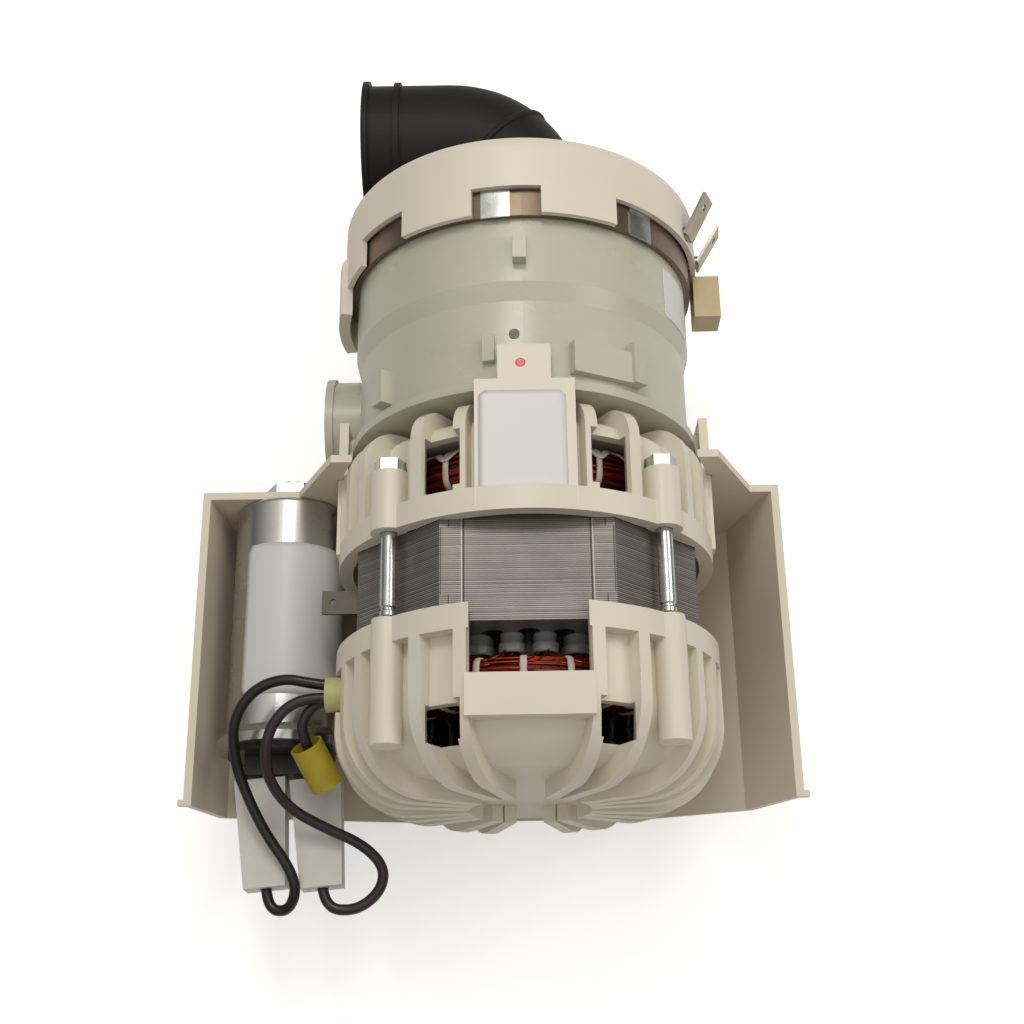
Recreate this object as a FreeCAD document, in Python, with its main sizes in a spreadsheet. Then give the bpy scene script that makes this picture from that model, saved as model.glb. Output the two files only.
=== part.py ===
import FreeCAD, Part
import math
import os
import Sketcher
from FreeCAD import Placement, Rotation, Vector

# Circulation pump of a dishwasher: a two pole induction motor between two moulded end shields,
# a plastic pump bowl with a clamped inlet cap, a rubber inlet elbow, and a moulded support tray
# that also carries the run capacitor.
# Frame: +X to the right, +Y from the motor to the pump, +Z up. The origin is on the underside
# of the tray, below the motor axis, level with the near face of the stator stack.

doc = FreeCAD.newDocument("circulation_pump")

# Driving dimensions, millimetres and degrees

DIMENSIONS = {
    # motor axis
    "axis_height": 54.1,
    "running_gap": 0.3,
    # stator stack
    "stack_flats": 85.0,
    "stack_side": 42.0,
    "stack_length": 30.0,
    "stack_bore": 47.0,
    "slot_count": 24,
    "slot_mouth": 1.2,
    "slot_neck": 2.0,
    "slot_width": 2.8,
    "slot_round": 2.8,
    "slot_centre": 33.2,
    # winding
    "winding_inner": 28.5,
    "winding_outer": 40.0,
    "winding_reach": 18.0,
    "winding_round": 4.5,
    "liner_wall": 0.4,
    "liner_reach": 5.5,
    "liner_gap": 0.1,
    # rotor
    "air_gap": 0.4,
    "end_ring_inner": 14.0,
    "end_ring_outer": 22.0,
    "end_ring_width": 5.0,
    "fan_blade_count": 8,
    "fan_blade_height": 5.0,
    "fan_blade_width": 2.0,
    "shaft_radius": 4.0,
    "shaft_near_end": -29.9,
    "shaft_far_end": 92.0,
    # ball bearings
    "bearing_outer": 11.0,
    "bearing_width": 7.0,
    "bearing_ring": 2.0,
    "ball_radius": 1.9,
    "ball_gap": 0.08,
    "ball_count": 7,
    "rear_bearing_start": -29.5,
    "front_bearing_start": 47.0,
    "bearing_sleeve": 1.5,
    # end shields
    "shield_gap": 0.3,
    "rim_radius": 49.5,
    "rim_bore": 45.8,
    "rim_overlap": 3.0,
    "rim_band": 3.2,
    "front_overlap": 4.6,
    "front_band": 1.6,
    "drum_radius": 45.2,
    "shield_wall": 2.6,
    "bell_depth": 36.5,
    "bell_round": 19.0,
    "rib_depth": 4.3,
    "rib_width": 3.2,
    "inner_rib_angle": 19.0,
    "frame_rib_angle": 33.0,
    "outer_rib_angle": 57.0,
    "flank_rib_angle": 68.0,
    "side_rib_angle": 80.0,
    "front_depth": 27.0,
    "front_round": 9.0,
    "hub_wall": 3.0,
    # through bolts
    "bolt_place": 33.8,
    "bolt_radius": 2.0,
    "bolt_hole_gap": 0.2,
    "bolt_head_flats": 7.0,
    "bolt_head_height": 3.2,
    "bolt_head_start": 41.2,
    "bolt_head_relief": 4.35,
    "bolt_end": -19.0,
    "boss_radius": 4.6,
    "rear_boss_radius": 3.9,
    "rear_boss_end": -27.6,
    "bolt_hole_end": 1.5,
    "bolt_groove": 0.35,
    "bolt_groove_width": 0.6,
    "bolt_groove_place": 3.4,
    "bolt_groove_step": 2.3,
    # rear shield openings
    "notch_half_width": 14.0,
    "notch_end": -14.0,
    "strap_end": -24.0,
    "strap_height": 47.6,
    "rear_window_inner": 16.0,
    "rear_window_outer": 24.2,
    "rear_window_near": -28.3,
    "rear_window_far": -19.5,
    "vent_width": 5.0,
    "hub_closure": 1.8,
    "notch_height": 20.0,
    "notch_inside": 14.0,
    "rear_window_low": 26.0,
    "rear_window_height": 28.0,
    "vent_reach": 16.0,
    "vent_length": 12.0,
    "vent_start": -20.0,
    "vent_drop": 2.0,
    "lead_hole_along": 8.2,
    "lead_hole_rise": 9.0,
    # front shield openings, plate and arms
    "front_window_inner": 15.9,
    "front_window_outer": 24.7,
    "front_window_near": 33.0,
    "front_window_far": 47.7,
    "front_window_low": 30.0,
    "front_window_height": 24.0,
    "plate_sink": 4.0,
    "arm_foot": 3.0,
    "plate_half_width": 12.4,
    "plate_top": 48.0,
    "plate_near": 26.5,
    "plate_far": 60.4,
    "tongue_half_width": 6.6,
    "tongue_far": 69.9,
    "plate_thickness": 2.4,
    "arm_half_width": 8.0,
    "arm_thickness": 2.4,
    "arm_inside": 47.4,
    "arm_far": 68.0,
    "arm_window": 7.0,
    "hook_half_width": 3.2,
    "hook_gap": 0.4,
    # pump bowl
    "bowl_back": 58.6,
    "bowl_back_wall": 2.4,
    "bowl_wall": 2.2,
    "bowl_small_radius": 44.9,
    "bowl_large_radius": 46.3,
    "bowl_lip_radius": 46.8,
    "bowl_shoulder": 84.0,
    "bowl_shoulder_length": 5.0,
    "bowl_flange_radius": 47.2,
    "flange_width": 2.6,
    "flange_plane": 111.2,
    "seal_hole": 9.5,
    # outlet
    "outlet_radius": 14.0,
    "outlet_wall": 2.3,
    "outlet_mouth": 55.5,
    "outlet_along": 76.9,
    "outlet_drop": 16.0,
    "outlet_bead": 0.9,
    "outlet_collar": 45.6,
    "outlet_start": 20.0,
    "outlet_inside": 31.0,
    # small features on the bowl
    "seal_boss_reach": 3.0,
    "bowl_post": 3.8,
    "post_rise": 3.4,
    "nub_width": 3.4,
    "nub_length": 8.0,
    "nub_height": 4.6,
    "nub_across": -0.7,
    "nub_along": 94.0,
    "left_post_angle": -52.0,
    "left_post_start": 63.0,
    "pad_angle": 27.0,
    "pad_width": 19.0,
    "pad_rise": 1.8,
    "pad_start": 63.6,
    "pad_length": 8.6,
    "right_post_angle": 38.0,
    "right_post_start": 63.6,
    "small_post_angle": -11.0,
    "small_post_start": 66.6,
    # impeller
    "impeller_blade_centre": 16.0,
    "impeller_blade_curve": 18.0,
    "impeller_blade_begin": 140.0,
    "impeller_blade_finish": 40.0,
    "impeller_radius": 31.0,
    "impeller_start": 69.0,
    "impeller_disc": 1.8,
    "impeller_blade_height": 7.0,
    "impeller_eye": 13.0,
    "impeller_hub": 7.0,
    "impeller_blades": 7,
    "impeller_blade_wall": 1.6,
    "guide_plate_wall": 1.8,
    # shaft seal
    "seal_seat_outer": 9.3,
    "seal_seat_width": 4.0,
    "seal_ring_outer": 7.5,
    "seal_ring_width": 2.5,
    "seal_spring_outer": 6.4,
    # inlet cap and clamp band
    "cap_radius": 50.0,
    "cap_skirt_start": 115.2,
    "cap_front": 131.8,
    "cap_wall": 2.4,
    "cap_round": 4.0,
    "cap_tab_start": 107.2,
    "cap_tab_angle": 24.0,
    "cap_tab_first": -27.0,
    "tab_wall": 1.5,
    "ear_start": 99.0,
    "ear_rise": 1.6,
    "ear_angle": 26.0,
    "cap_tab_count": 8,
    "neck_radius": 17.0,
    "neck_wall": 2.2,
    "neck_length": 11.0,
    "band_gap": 0.1,
    "band_wall": 0.7,
    "crimp_angle": 9.0,
    "crimp_rise": 0.4,
    "first_crimp_angle": -8.0,
    "second_crimp_angle": 41.0,
    "gasket_thickness": 0.8,
    # heater
    "heater_ring_radius": 36.0,
    "heater_tube_radius": 3.3,
    "heater_place": 118.5,
    "post_radius": 1.9,
    "first_blade_angle": 66.0,
    "second_blade_angle": 84.0,
    "blade_width": 6.3,
    "blade_thickness": 0.8,
    "blade_length": 13.0,
    "blade_hole": 0.9,
    # sensor connector
    "socket_length": 13.0,
    "socket_height": 9.0,
    "socket_depth": 7.4,
    "socket_wall": 1.1,
    # inlet elbow
    "elbow_radius": 19.6,
    "elbow_wall": 2.5,
    "elbow_bend": 20.2,
    "elbow_turn": 140.8,
    "elbow_mouth": 45.3,
    "elbow_lip": 1.4,
    "elbow_lip_width": 1.7,
    "elbow_ring_place": 34.5,
    # support tray
    "tray_wall": 2.1,
    "tray_left": 88.3,
    "tray_right": 69.8,
    "tray_near": 33.0,
    "tray_far": 53.2,
    "tray_top": 4.0,
    "tray_shelf": 34.0,
    "tray_fold_right": 59.0,
    "tray_fold_left": 82.5,
    "tray_trough": 34.0,
    "tray_gusset_rise": 20.0,
    "tray_gusset_inner": 50.5,
    "tray_gusset_outer": 62.0,
    "tray_lip": 1.4,
    "tray_draft": 4.9,
    # capacitor
    "can_radius": 15.0,
    "can_across": 65.5,
    "can_drop": 16.6,
    "can_near": -17.0,
    "can_rim": 17.2,
    "can_rim_width": 2.4,
    "can_base_radius": 14.2,
    "can_base_depth": 6.5,
    "stud_radius": 4.0,
    "stud_reach": 9.0,
    "nut_flats": 13.0,
    "nut_height": 4.0,
    "washer_radius": 8.0,
    "washer_thickness": 1.4,
    "terminal_spacing": 14.5,
    "terminal_offset": 2.2,
    "base_half_width": 11.4,
    "terminal_length": 9.0,
    "boot_width": 13.4,
    "boot_height": 7.6,
    "boot_length": 28.0,
    "boot_wall": 0.9,
    "boot_gap": 0.9,
    "boot_splay": 5.0,
    # earth tab and sleeves
    "earth_tab_along": 13.3,
    "earth_tab_reach": 10.5,
    "earth_tab_rise": 8.0,
    "wire_diameter": 2.8,
    "small_sleeve_radius": 4.4,
    "large_sleeve_radius": 4.3,
    "sleeve_wall": 0.5,
}

sheet = doc.addObject("Spreadsheet::Sheet", "dims")
for row, (alias, number) in enumerate(DIMENSIONS.items(), start=1):
    sheet.set("A%d" % row, alias)
    sheet.set("B%d" % row, str(number))
    sheet.setAlias("B%d" % row, alias)
doc.recompute()


class Size:
    """A number that keeps the sheet formula it came from, so that features can be bound to it."""

    def __init__(self, number, formula):
        self.number = float(number)
        self.formula = formula

    def __add__(self, other):
        return Size(self.number + plain(other), "(%s + %s)" % (self.formula, text(other)))

    def __radd__(self, other):
        return Size(plain(other) + self.number, "(%s + %s)" % (text(other), self.formula))

    def __sub__(self, other):
        return Size(self.number - plain(other), "(%s - %s)" % (self.formula, text(other)))

    def __rsub__(self, other):
        return Size(plain(other) - self.number, "(%s - %s)" % (text(other), self.formula))

    def __mul__(self, other):
        return Size(self.number * plain(other), "(%s * %s)" % (self.formula, text(other)))

    def __rmul__(self, other):
        return self * other

    def __truediv__(self, other):
        return Size(self.number / plain(other), "(%s / %s)" % (self.formula, text(other)))

    def __neg__(self):
        return Size(-self.number, "(0 - %s)" % self.formula)


def plain(size):
    return size.number if isinstance(size, Size) else float(size)


def text(size):
    return size.formula if isinstance(size, Size) else repr(float(size))


def root(size):
    return Size(math.sqrt(plain(size)), "sqrt(%s)" % text(size))


def sine(degrees):
    return Size(math.sin(math.radians(plain(degrees))), "sin(%s)" % text(degrees))


def cosine(degrees):
    return Size(math.cos(math.radians(plain(degrees))), "cos(%s)" % text(degrees))


class Sheet:
    """Reads the sheet: d.stack_length is the value and the formula of that cell."""

    def __getattr__(self, alias):
        return Size(getattr(sheet, alias), "dims.%s" % alias)


d = Sheet()
ALONG_Y = Rotation(Vector(1, 0, 0), -90)
ALONG_LEFT = Rotation(Vector(0, 1, 0), -90)
UPRIGHT = Rotation()


# Building blocks

def bind(item, **sizes):
    for name, size in sizes.items():
        item.setExpression(name, text(size))


def place(item, x=0, y=0, z=0, rotation=UPRIGHT):
    item.Placement = Placement(Vector(plain(x), plain(y), plain(z)), rotation)
    for axis, size in (("x", x), ("y", y), ("z", z)):
        if isinstance(size, Size):
            item.setExpression("Placement.Base.%s" % axis, size.formula)
    return item


def cylinder(radius, length, x=0, y=0, z=0, rotation=ALONG_Y, angle=360):
    item = doc.addObject("Part::Cylinder", "cylinder")
    bind(item, Radius=radius, Height=length, Angle=angle)
    return place(item, x, y, z, rotation)


def block(length_x, length_y, length_z, x=0, y=0, z=0):
    """A box between x, y, z and x + length_x, y + length_y, z + length_z."""
    item = doc.addObject("Part::Box", "block")
    bind(item, Length=length_x, Width=length_y, Height=length_z)
    return place(item, x, y, z)


def slab(angle, width, reach, y, length):
    """A plate through the motor axis on one side, turned from the top by the angle."""
    item = doc.addObject("Part::Box", "slab")
    bind(item, Length=width, Width=length, Height=reach)
    place(item, 0, y, 0, Rotation(Vector(0, 1, 0), plain(angle)))
    item.setExpression("Placement.Base.x", text(-(width / 2) * cosine(angle)))
    item.setExpression("Placement.Base.z", text(d.axis_height + (width / 2) * sine(angle)))
    return item


def fuse(items):
    item = doc.addObject("Part::MultiFuse", "joined")
    item.Shapes = items
    item.Refine = False
    return item


def cut(base, tools):
    item = doc.addObject("Part::Cut", "cut")
    item.Base = base
    item.Tool = tools[0] if len(tools) == 1 else fuse(tools)
    item.Refine = False
    return item


def common(base, other):
    item = doc.addObject("Part::MultiCommon", "shared")
    item.Shapes = [base, other]
    item.Refine = False
    return item


def new_body(label):
    body = doc.addObject("PartDesign::Body", label)
    body.Label = label
    return body


def origin_part(body, role):
    for part in body.Origin.OriginFeatures:
        if part.Role == role:
            return part
    raise ValueError(role)


def attach(body, name, plane, offset=0):
    sketch = body.newObject("Sketcher::SketchObject", name)
    sketch.AttachmentSupport = [(origin_part(body, plane), "")]
    sketch.MapMode = "FlatFace"
    if isinstance(offset, Size):
        sketch.setExpression("AttachmentOffset.Base.z", offset.formula)
    return sketch


def fix_point(sketch, geometry, end, x, y, which="xy"):
    """Ties a point to its two coordinates, or only to one of them."""
    for axis, kind, line, size in (("x", "DistanceX", -2, x), ("y", "DistanceY", -1, y)):
        if axis not in which:
            continue
        if abs(plain(size)) < 1e-9:
            sketch.addConstraint(Sketcher.Constraint("PointOnObject", geometry, end, line))
            continue
        index = sketch.addConstraint(Sketcher.Constraint(kind, geometry, end, plain(size)))
        if isinstance(size, Size):
            sketch.setExpression("Constraints[%d]" % index, size.formula)


def outline(body, name, plane, points, offset=0):
    """A closed outline. A point (x, y) ends a line, and (x, y, cx, cy) ends an arc about cx, cy.
    The last side, back to the first point, is a line."""
    sketch = attach(body, name, plane, offset)
    count = len(points)
    ends = []
    for index in range(count):
        here, there = points[index], points[(index + 1) % count]
        start = Vector(plain(here[0]), plain(here[1]), 0)
        finish = Vector(plain(there[0]), plain(there[1]), 0)
        if len(there) == 2:
            side = sketch.addGeometry(Part.LineSegment(start, finish))
            ends.append((side, 1, 2))
            continue
        middle = Vector(plain(there[2]), plain(there[3]), 0)
        first, last = start - middle, finish - middle
        leftward = first.cross(last).z > 0
        begin = math.atan2(first.y, first.x) if leftward else math.atan2(last.y, last.x)
        stop = math.atan2(last.y, last.x) if leftward else math.atan2(first.y, first.x)
        circle = Part.Circle(middle, Vector(0, 0, 1), first.Length)
        side = sketch.addGeometry(Part.ArcOfCircle(circle, begin, stop))
        ends.append((side, 1, 2) if leftward else (side, 2, 1))
        fix_point(sketch, side, 3, there[2], there[3])
    for index in range(count):
        side, first, last = ends[index]
        following, other_first, other_last = ends[(index + 1) % count]
        sketch.addConstraint(Sketcher.Constraint("Coincident", side, last, following, other_first))
        point = points[index]
        which = "xy"
        if len(point) == 4:
            level = abs(plain(point[0]) - plain(point[2])) < abs(plain(point[1]) - plain(point[3]))
            which = "x" if level else "y"
        fix_point(sketch, side, first, point[0], point[1], which)
    return sketch


def turned(label, points, x=0, z=None, y=0):
    """A ring or shell of revolution: points are (distance along Y, radius)."""
    body = new_body(label)
    sketch = outline(body, label + "_section", "YZ_Plane", points)
    ring = body.newObject("PartDesign::Revolution", label + "_turn")
    ring.Profile = sketch
    ring.ReferenceAxis = (sketch, ["H_Axis"])
    ring.Angle = 360
    sketch.Visibility = False
    return place(body, x, y, d.axis_height if z is None else z)


def extruded(label, points, start, length):
    """A solid with one outline across X and Z, drawn about the motor axis, from start along Y."""
    body = new_body(label)
    sketch = outline(body, label + "_section", "XZ_Plane", points)
    pad = body.newObject("PartDesign::Pad", label + "_pad")
    pad.Profile = sketch
    pad.Reversed = True
    bind(pad, Length=length)
    sketch.Visibility = False
    return place(body, 0, start, d.axis_height)


NODES = {}


def keep(item, label):
    """The finished sub-part under its own name."""
    item.Label = label
    NODES[label] = item
    return item


def quarters(angle):
    """The same angle in the four quarters, from the top."""
    return (angle, -angle, 180 - angle, angle - 180)


# Stator stack: a punched eight sided sheet with a bore and slots

def eight_sides(grow=0):
    """The outline of the sheets, grown all round: four long flats and four shorter corners."""
    half = d.stack_flats / 2 + grow
    side = d.stack_side / 2 + grow * math.tan(math.pi / 8)
    return [(side, half), (half, side), (half, -side), (side, -half),
            (-side, -half), (-half, -side), (-half, side), (-side, half)]


def slot_profile(shrink=0):
    """A slot behind its mouth: narrow towards the bore, wide and round at the back."""
    low = d.stack_bore / 2 + d.slot_neck + shrink
    narrow = d.slot_width / 2 - shrink
    wide = d.slot_round - shrink
    centre = d.slot_centre
    return [(narrow, low), (wide, centre), (0, centre + wide, 0, centre),
            (-wide, centre, 0, centre), (-narrow, low)]


def slot_row(label, shrink, start, length):
    """One filling for each slot, drawn as the slot is and smaller all round."""
    row = []
    count = int(plain(d.slot_count))
    for index in range(count):
        item = extruded("%s_%d" % (label, index), slot_profile(shrink), start, length)
        place(item, 0, start, d.axis_height, Rotation(Vector(0, 1, 0), 360.0 * index / count))
        row.append(item)
    return row


def stator_core():
    core = extruded("core_blank", eight_sides(), 0, d.stack_length)
    doc.recompute()
    bore = core.newObject("Sketcher::SketchObject", "bore_circle")
    bore.AttachmentSupport = [(origin_part(core, "XZ_Plane"), "")]
    bore.MapMode = "FlatFace"
    bore.addGeometry(Part.Circle(Vector(0, 0, 0), Vector(0, 0, 1), plain(d.stack_bore) / 2))
    bore.addConstraint(Sketcher.Constraint("Coincident", 0, 3, -1, 1))
    index = bore.addConstraint(Sketcher.Constraint("Radius", 0, plain(d.stack_bore) / 2))
    bore.setExpression("Constraints[%d]" % index, text(d.stack_bore / 2))
    hole = core.newObject("PartDesign::Pocket", "bore")
    hole.Profile = bore
    hole.Type = "ThroughAll"
    doc.recompute()
    inner = d.stack_bore / 2
    mouth = d.slot_mouth / 2
    slot = outline(core, "slot_section", "XZ_Plane", [
        (-mouth, inner - 1), (mouth, inner - 1), (mouth, inner + d.slot_neck / 2),
    ] + slot_profile() + [(-mouth, inner + d.slot_neck / 2)])
    pocket = core.newObject("PartDesign::Pocket", "slot")
    pocket.Profile = slot
    pocket.Type = "ThroughAll"
    doc.recompute()
    ring = core.newObject("PartDesign::PolarPattern", "slots")
    ring.Originals = [pocket]
    ring.Axis = (origin_part(core, "Y_Axis"), [""])
    ring.Angle = 360
    ring.setExpression("Occurrences", d.slot_count.formula)
    core.Tip = ring
    keep(core, "stator_core")


# Winding: two copper coil heads joined by a bar in each slot

def around(maker, count):
    """Copies of one feature around the motor axis, joined."""
    copies = []
    for index in range(int(plain(count))):
        copies.append(maker(index * 360.0 / plain(count)))
    return copies


def radial_bar(angle, width, low, high, start, length):
    """A bar that stands on a radius: from radius low to high, turned from the top."""
    item = doc.addObject("Part::Box", "bar")
    bind(item, Length=width, Width=length, Height=high - low)
    place(item, 0, start, 0, Rotation(Vector(0, 1, 0), angle))
    sin_a, cos_a = math.sin(math.radians(angle)), math.cos(math.radians(angle))
    item.setExpression("Placement.Base.x", text(low * sin_a - width * (cos_a / 2)))
    item.setExpression("Placement.Base.z", text(d.axis_height + low * cos_a + width * (sin_a / 2)))
    return item


def windings():
    start = -d.liner_reach - 1
    length = d.stack_length + 2 * d.liner_reach + 2
    bars = slot_row("slot_copper", d.liner_wall + 2 * d.liner_gap, start, length)
    heads = []
    for base, side in ((0, -1), (d.stack_length, 1)):
        near = base + side * (d.liner_reach + 0.5)
        tip = base + side * d.winding_reach
        turn = tip - side * d.winding_round
        low, high = d.winding_inner, d.winding_outer
        curve = d.winding_round
        head = turned("coil_head_%s" % ("rear" if side < 0 else "front"), [
            (near, low), (turn, low), (tip, low + curve, turn, low + curve),
            (tip, high - curve), (turn, high, turn, high - curve), (near, high),
        ])
        heads.append(head)
    keep(fuse(heads + bars), "stator_winding")


def slot_liners():
    start = -d.liner_reach
    length = d.stack_length + 2 * d.liner_reach
    outside = slot_row("liner", d.liner_gap, start, length)
    inside = slot_row("liner_inside", d.liner_wall + 1.5 * d.liner_gap, start - 1, length + 2)
    keep(cut(fuse(outside), inside), "slot_liners")


# Rotor: laminated core, cast end rings with fan blades, and the shaft

def rotor():
    radius = d.stack_bore / 2 - d.air_gap
    keep(turned("rotor_core", [
        (0, d.shaft_radius), (d.stack_length, d.shaft_radius),
        (d.stack_length, radius), (0, radius)]), "rotor_core")
    rings = []
    for label, start, outward in (("near", -d.end_ring_width, -1), ("far", d.stack_length, 1)):
        ring = turned("end_ring_" + label, [
            (start, d.end_ring_inner), (start + d.end_ring_width, d.end_ring_inner),
            (start + d.end_ring_width, d.end_ring_outer), (start, d.end_ring_outer)])
        edge = start if outward < 0 else start + d.end_ring_width
        foot = edge - d.fan_blade_height if outward < 0 else edge
        blades = around(lambda angle: radial_bar(
            angle, d.fan_blade_width, d.end_ring_inner + 1, d.end_ring_outer - 1, foot,
            d.fan_blade_height), d.fan_blade_count)
        rings.append(fuse([ring] + blades))
    keep(fuse(rings), "rotor_end_rings")
    step = d.shaft_radius - 1
    tip = d.shaft_far_end
    keep(turned("motor_shaft", [
        (d.shaft_near_end, 0), (tip, 0), (tip, step), (d.impeller_start, step),
        (d.impeller_start, d.shaft_radius), (d.shaft_near_end + 1, d.shaft_radius),
        (d.shaft_near_end, d.shaft_radius - 1)]), "motor_shaft")


def bearing(label, start):
    """Deep groove ball bearing: two grooved rings and the balls between them."""
    width = d.bearing_width
    middle = start + width / 2
    track = (d.shaft_radius + d.bearing_outer) / 2
    groove = d.ball_radius + d.ball_gap
    inner_edge = d.shaft_radius + d.bearing_ring
    outer_edge = d.bearing_outer - d.bearing_ring
    low = root(groove * groove - (track - inner_edge) * (track - inner_edge))
    high = root(groove * groove - (outer_edge - track) * (outer_edge - track))
    keep(turned(label + "_bearing_inner", [
        (start, d.shaft_radius), (start + width, d.shaft_radius), (start + width, inner_edge),
        (middle + low, inner_edge), (middle - low, inner_edge, middle, track),
        (start, inner_edge)]), label + "_bearing_inner")
    keep(turned(label + "_bearing_outer", [
        (start, d.bearing_outer), (start, outer_edge), (middle - high, outer_edge),
        (middle + high, outer_edge, middle, track), (start + width, outer_edge),
        (start + width, d.bearing_outer)]), label + "_bearing_outer")
    balls = []
    for index in range(int(plain(d.ball_count))):
        angle = 2 * math.pi * index / plain(d.ball_count)
        ball = doc.addObject("Part::Sphere", "ball")
        bind(ball, Radius=d.ball_radius)
        balls.append(place(ball, track * math.sin(angle), middle,
                           d.axis_height + track * math.cos(angle)))
    keep(fuse(balls), label + "_bearing_balls")


# End shields: a ribbed drum with a rim over the stack, bolt bosses and a bearing seat

def ribbed_drum(label, seat, way, overlap, band, depth, curve, boss_end):
    """The moulded drum. seat is the plane of the stack's end face and way is -1 or +1 along Y."""
    rim_inner = d.rim_bore
    boss_radius = d.boss_radius if way > 0 else d.rear_boss_radius
    rim = d.rim_radius
    wall = d.shield_wall
    drum = d.drum_radius
    tip = seat + way * (depth - d.rib_depth)
    bend = tip - way * (curve - d.rib_depth)
    centre_radius = drum - (curve - d.rib_depth)
    inside = tip - way * wall
    hub = d.bearing_outer + d.bearing_sleeve + d.hub_wall
    shell = turned(label + "_drum", [
        (seat - way * overlap, rim_inner), (seat, rim_inner), (seat, drum - wall),
        (bend, drum - wall),
        (inside, centre_radius, bend, centre_radius), (inside, hub - 0.5),
        (tip, hub - 0.5), (tip, centre_radius),
        (bend, drum, bend, centre_radius), (seat + way * band, drum),
        (seat + way * band, rim), (seat - way * overlap, rim)])
    outer_tip = seat + way * depth
    outer_bend = outer_tip - way * curve
    middle = rim - curve
    envelope = turned(label + "_envelope", [
        (seat, drum - wall + 0.5), (bend, drum - wall + 0.5),
        (tip - way * (wall / 2), centre_radius, bend, centre_radius),
        (tip - way * (wall / 2), hub), (outer_tip, hub), (outer_tip, middle),
        (outer_bend, rim, outer_bend, middle), (seat, rim)])
    start = outer_tip if way < 0 else seat
    reach = d.rim_radius + 1
    slabs = []
    for angle in (d.inner_rib_angle, d.frame_rib_angle, d.outer_rib_angle, d.flank_rib_angle,
                  d.side_rib_angle):
        for turn in quarters(angle):
            slabs.append(slab(turn, d.rib_width, reach, start, depth))
    ribs = common(envelope, fuse(slabs))
    bosses = []
    holes = []
    for right in (-1, 1):
        for top in (-1, 1):
            x = right * d.bolt_place
            z = d.axis_height + top * d.bolt_place
            first = boss_end if way < 0 else seat - overlap
            last = seat + overlap if way < 0 else boss_end
            bosses.append(cylinder(boss_radius, last - first, x, first, z))
            begin = first - 1 if way > 0 else d.bolt_end - d.bolt_hole_end
            holes.append(cylinder(d.bolt_radius + d.bolt_hole_gap, last - begin + 1, x, begin, z))
            if way > 0:
                holes.append(cylinder(d.bolt_head_relief, depth, x, last, z))
    return shell, ribs, bosses, holes


def stack_room(start, length):
    """The space of the stator stack and its assembly gap, which the bolt bosses stop short of."""
    return extruded("stack_room", eight_sides(d.shield_gap), start, length)


def bearing_seat(label, start, end):
    sleeve = d.bearing_outer + d.bearing_sleeve
    return turned(label, [
        (start, sleeve), (end, sleeve), (end, sleeve + d.hub_wall), (start, sleeve + d.hub_wall)])


def rear_shield():
    seat = d.stack_length * 0
    shell, ribs, bosses, holes = ribbed_drum(
        "rear", seat, -1, d.rim_overlap, d.rim_band, d.bell_depth, d.bell_round, d.rear_boss_end)
    wall_plane = -d.bell_depth + d.rib_depth
    closure = cylinder(d.bearing_outer + d.bearing_sleeve + 1, d.hub_closure, 0, wall_plane,
                       d.axis_height)
    hub = bearing_seat("rear_seat", wall_plane, d.rear_bearing_start + d.bearing_width + 0.5)
    top = d.axis_height + d.strap_height
    strap_room = block(2 * d.notch_half_width + 2, d.notch_end - d.strap_end,
                       d.strap_height - d.drum_radius + d.shield_wall,
                       -d.notch_half_width - 1, d.strap_end,
                       d.axis_height + d.drum_radius - d.shield_wall)
    under = block(2 * d.notch_half_width + 2, d.notch_end - d.strap_end,
                  d.strap_height - d.drum_radius + d.shield_wall,
                  -d.notch_half_width - 1, d.strap_end,
                  d.axis_height - d.strap_height)
    body = fuse([shell, ribs, hub, closure, strap_room, under] + bosses)
    notches = []
    over = d.notch_height - d.notch_inside
    for z in (top - d.notch_inside, d.axis_height - d.strap_height - over):
        notches.append(block(2 * d.notch_half_width, d.rim_overlap - d.notch_end + 1, d.notch_height,
                             -d.notch_half_width, d.notch_end, z))
    windows = []
    width = d.rear_window_outer - d.rear_window_inner
    for x in (d.rear_window_inner, -d.rear_window_outer):
        for z in (d.axis_height + d.rear_window_low,
                  d.axis_height - d.rear_window_low - d.rear_window_height):
            windows.append(block(width, d.rear_window_far - d.rear_window_near,
                                 d.rear_window_height, x, d.rear_window_near, z))
    vents = []
    for right in (-1, 1):
        x = right * (d.drum_radius + d.shield_wall) - d.vent_reach / 2
        vents.append(block(d.vent_reach, d.vent_length, d.vent_width * 2, x, d.vent_start,
                           d.axis_height - d.vent_width - d.vent_drop))
    reach = d.small_sleeve_radius + 0.4
    vents.append(block(d.vent_reach, 2 * reach, 2 * reach, -d.rim_radius - 6,
                       -d.lead_hole_along - reach, d.axis_height + d.lead_hole_rise - reach))
    room = stack_room(seat, d.rim_overlap + 1)
    keep(cut(body, notches + windows + vents + holes + [room]), "rear_end_shield")


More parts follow.
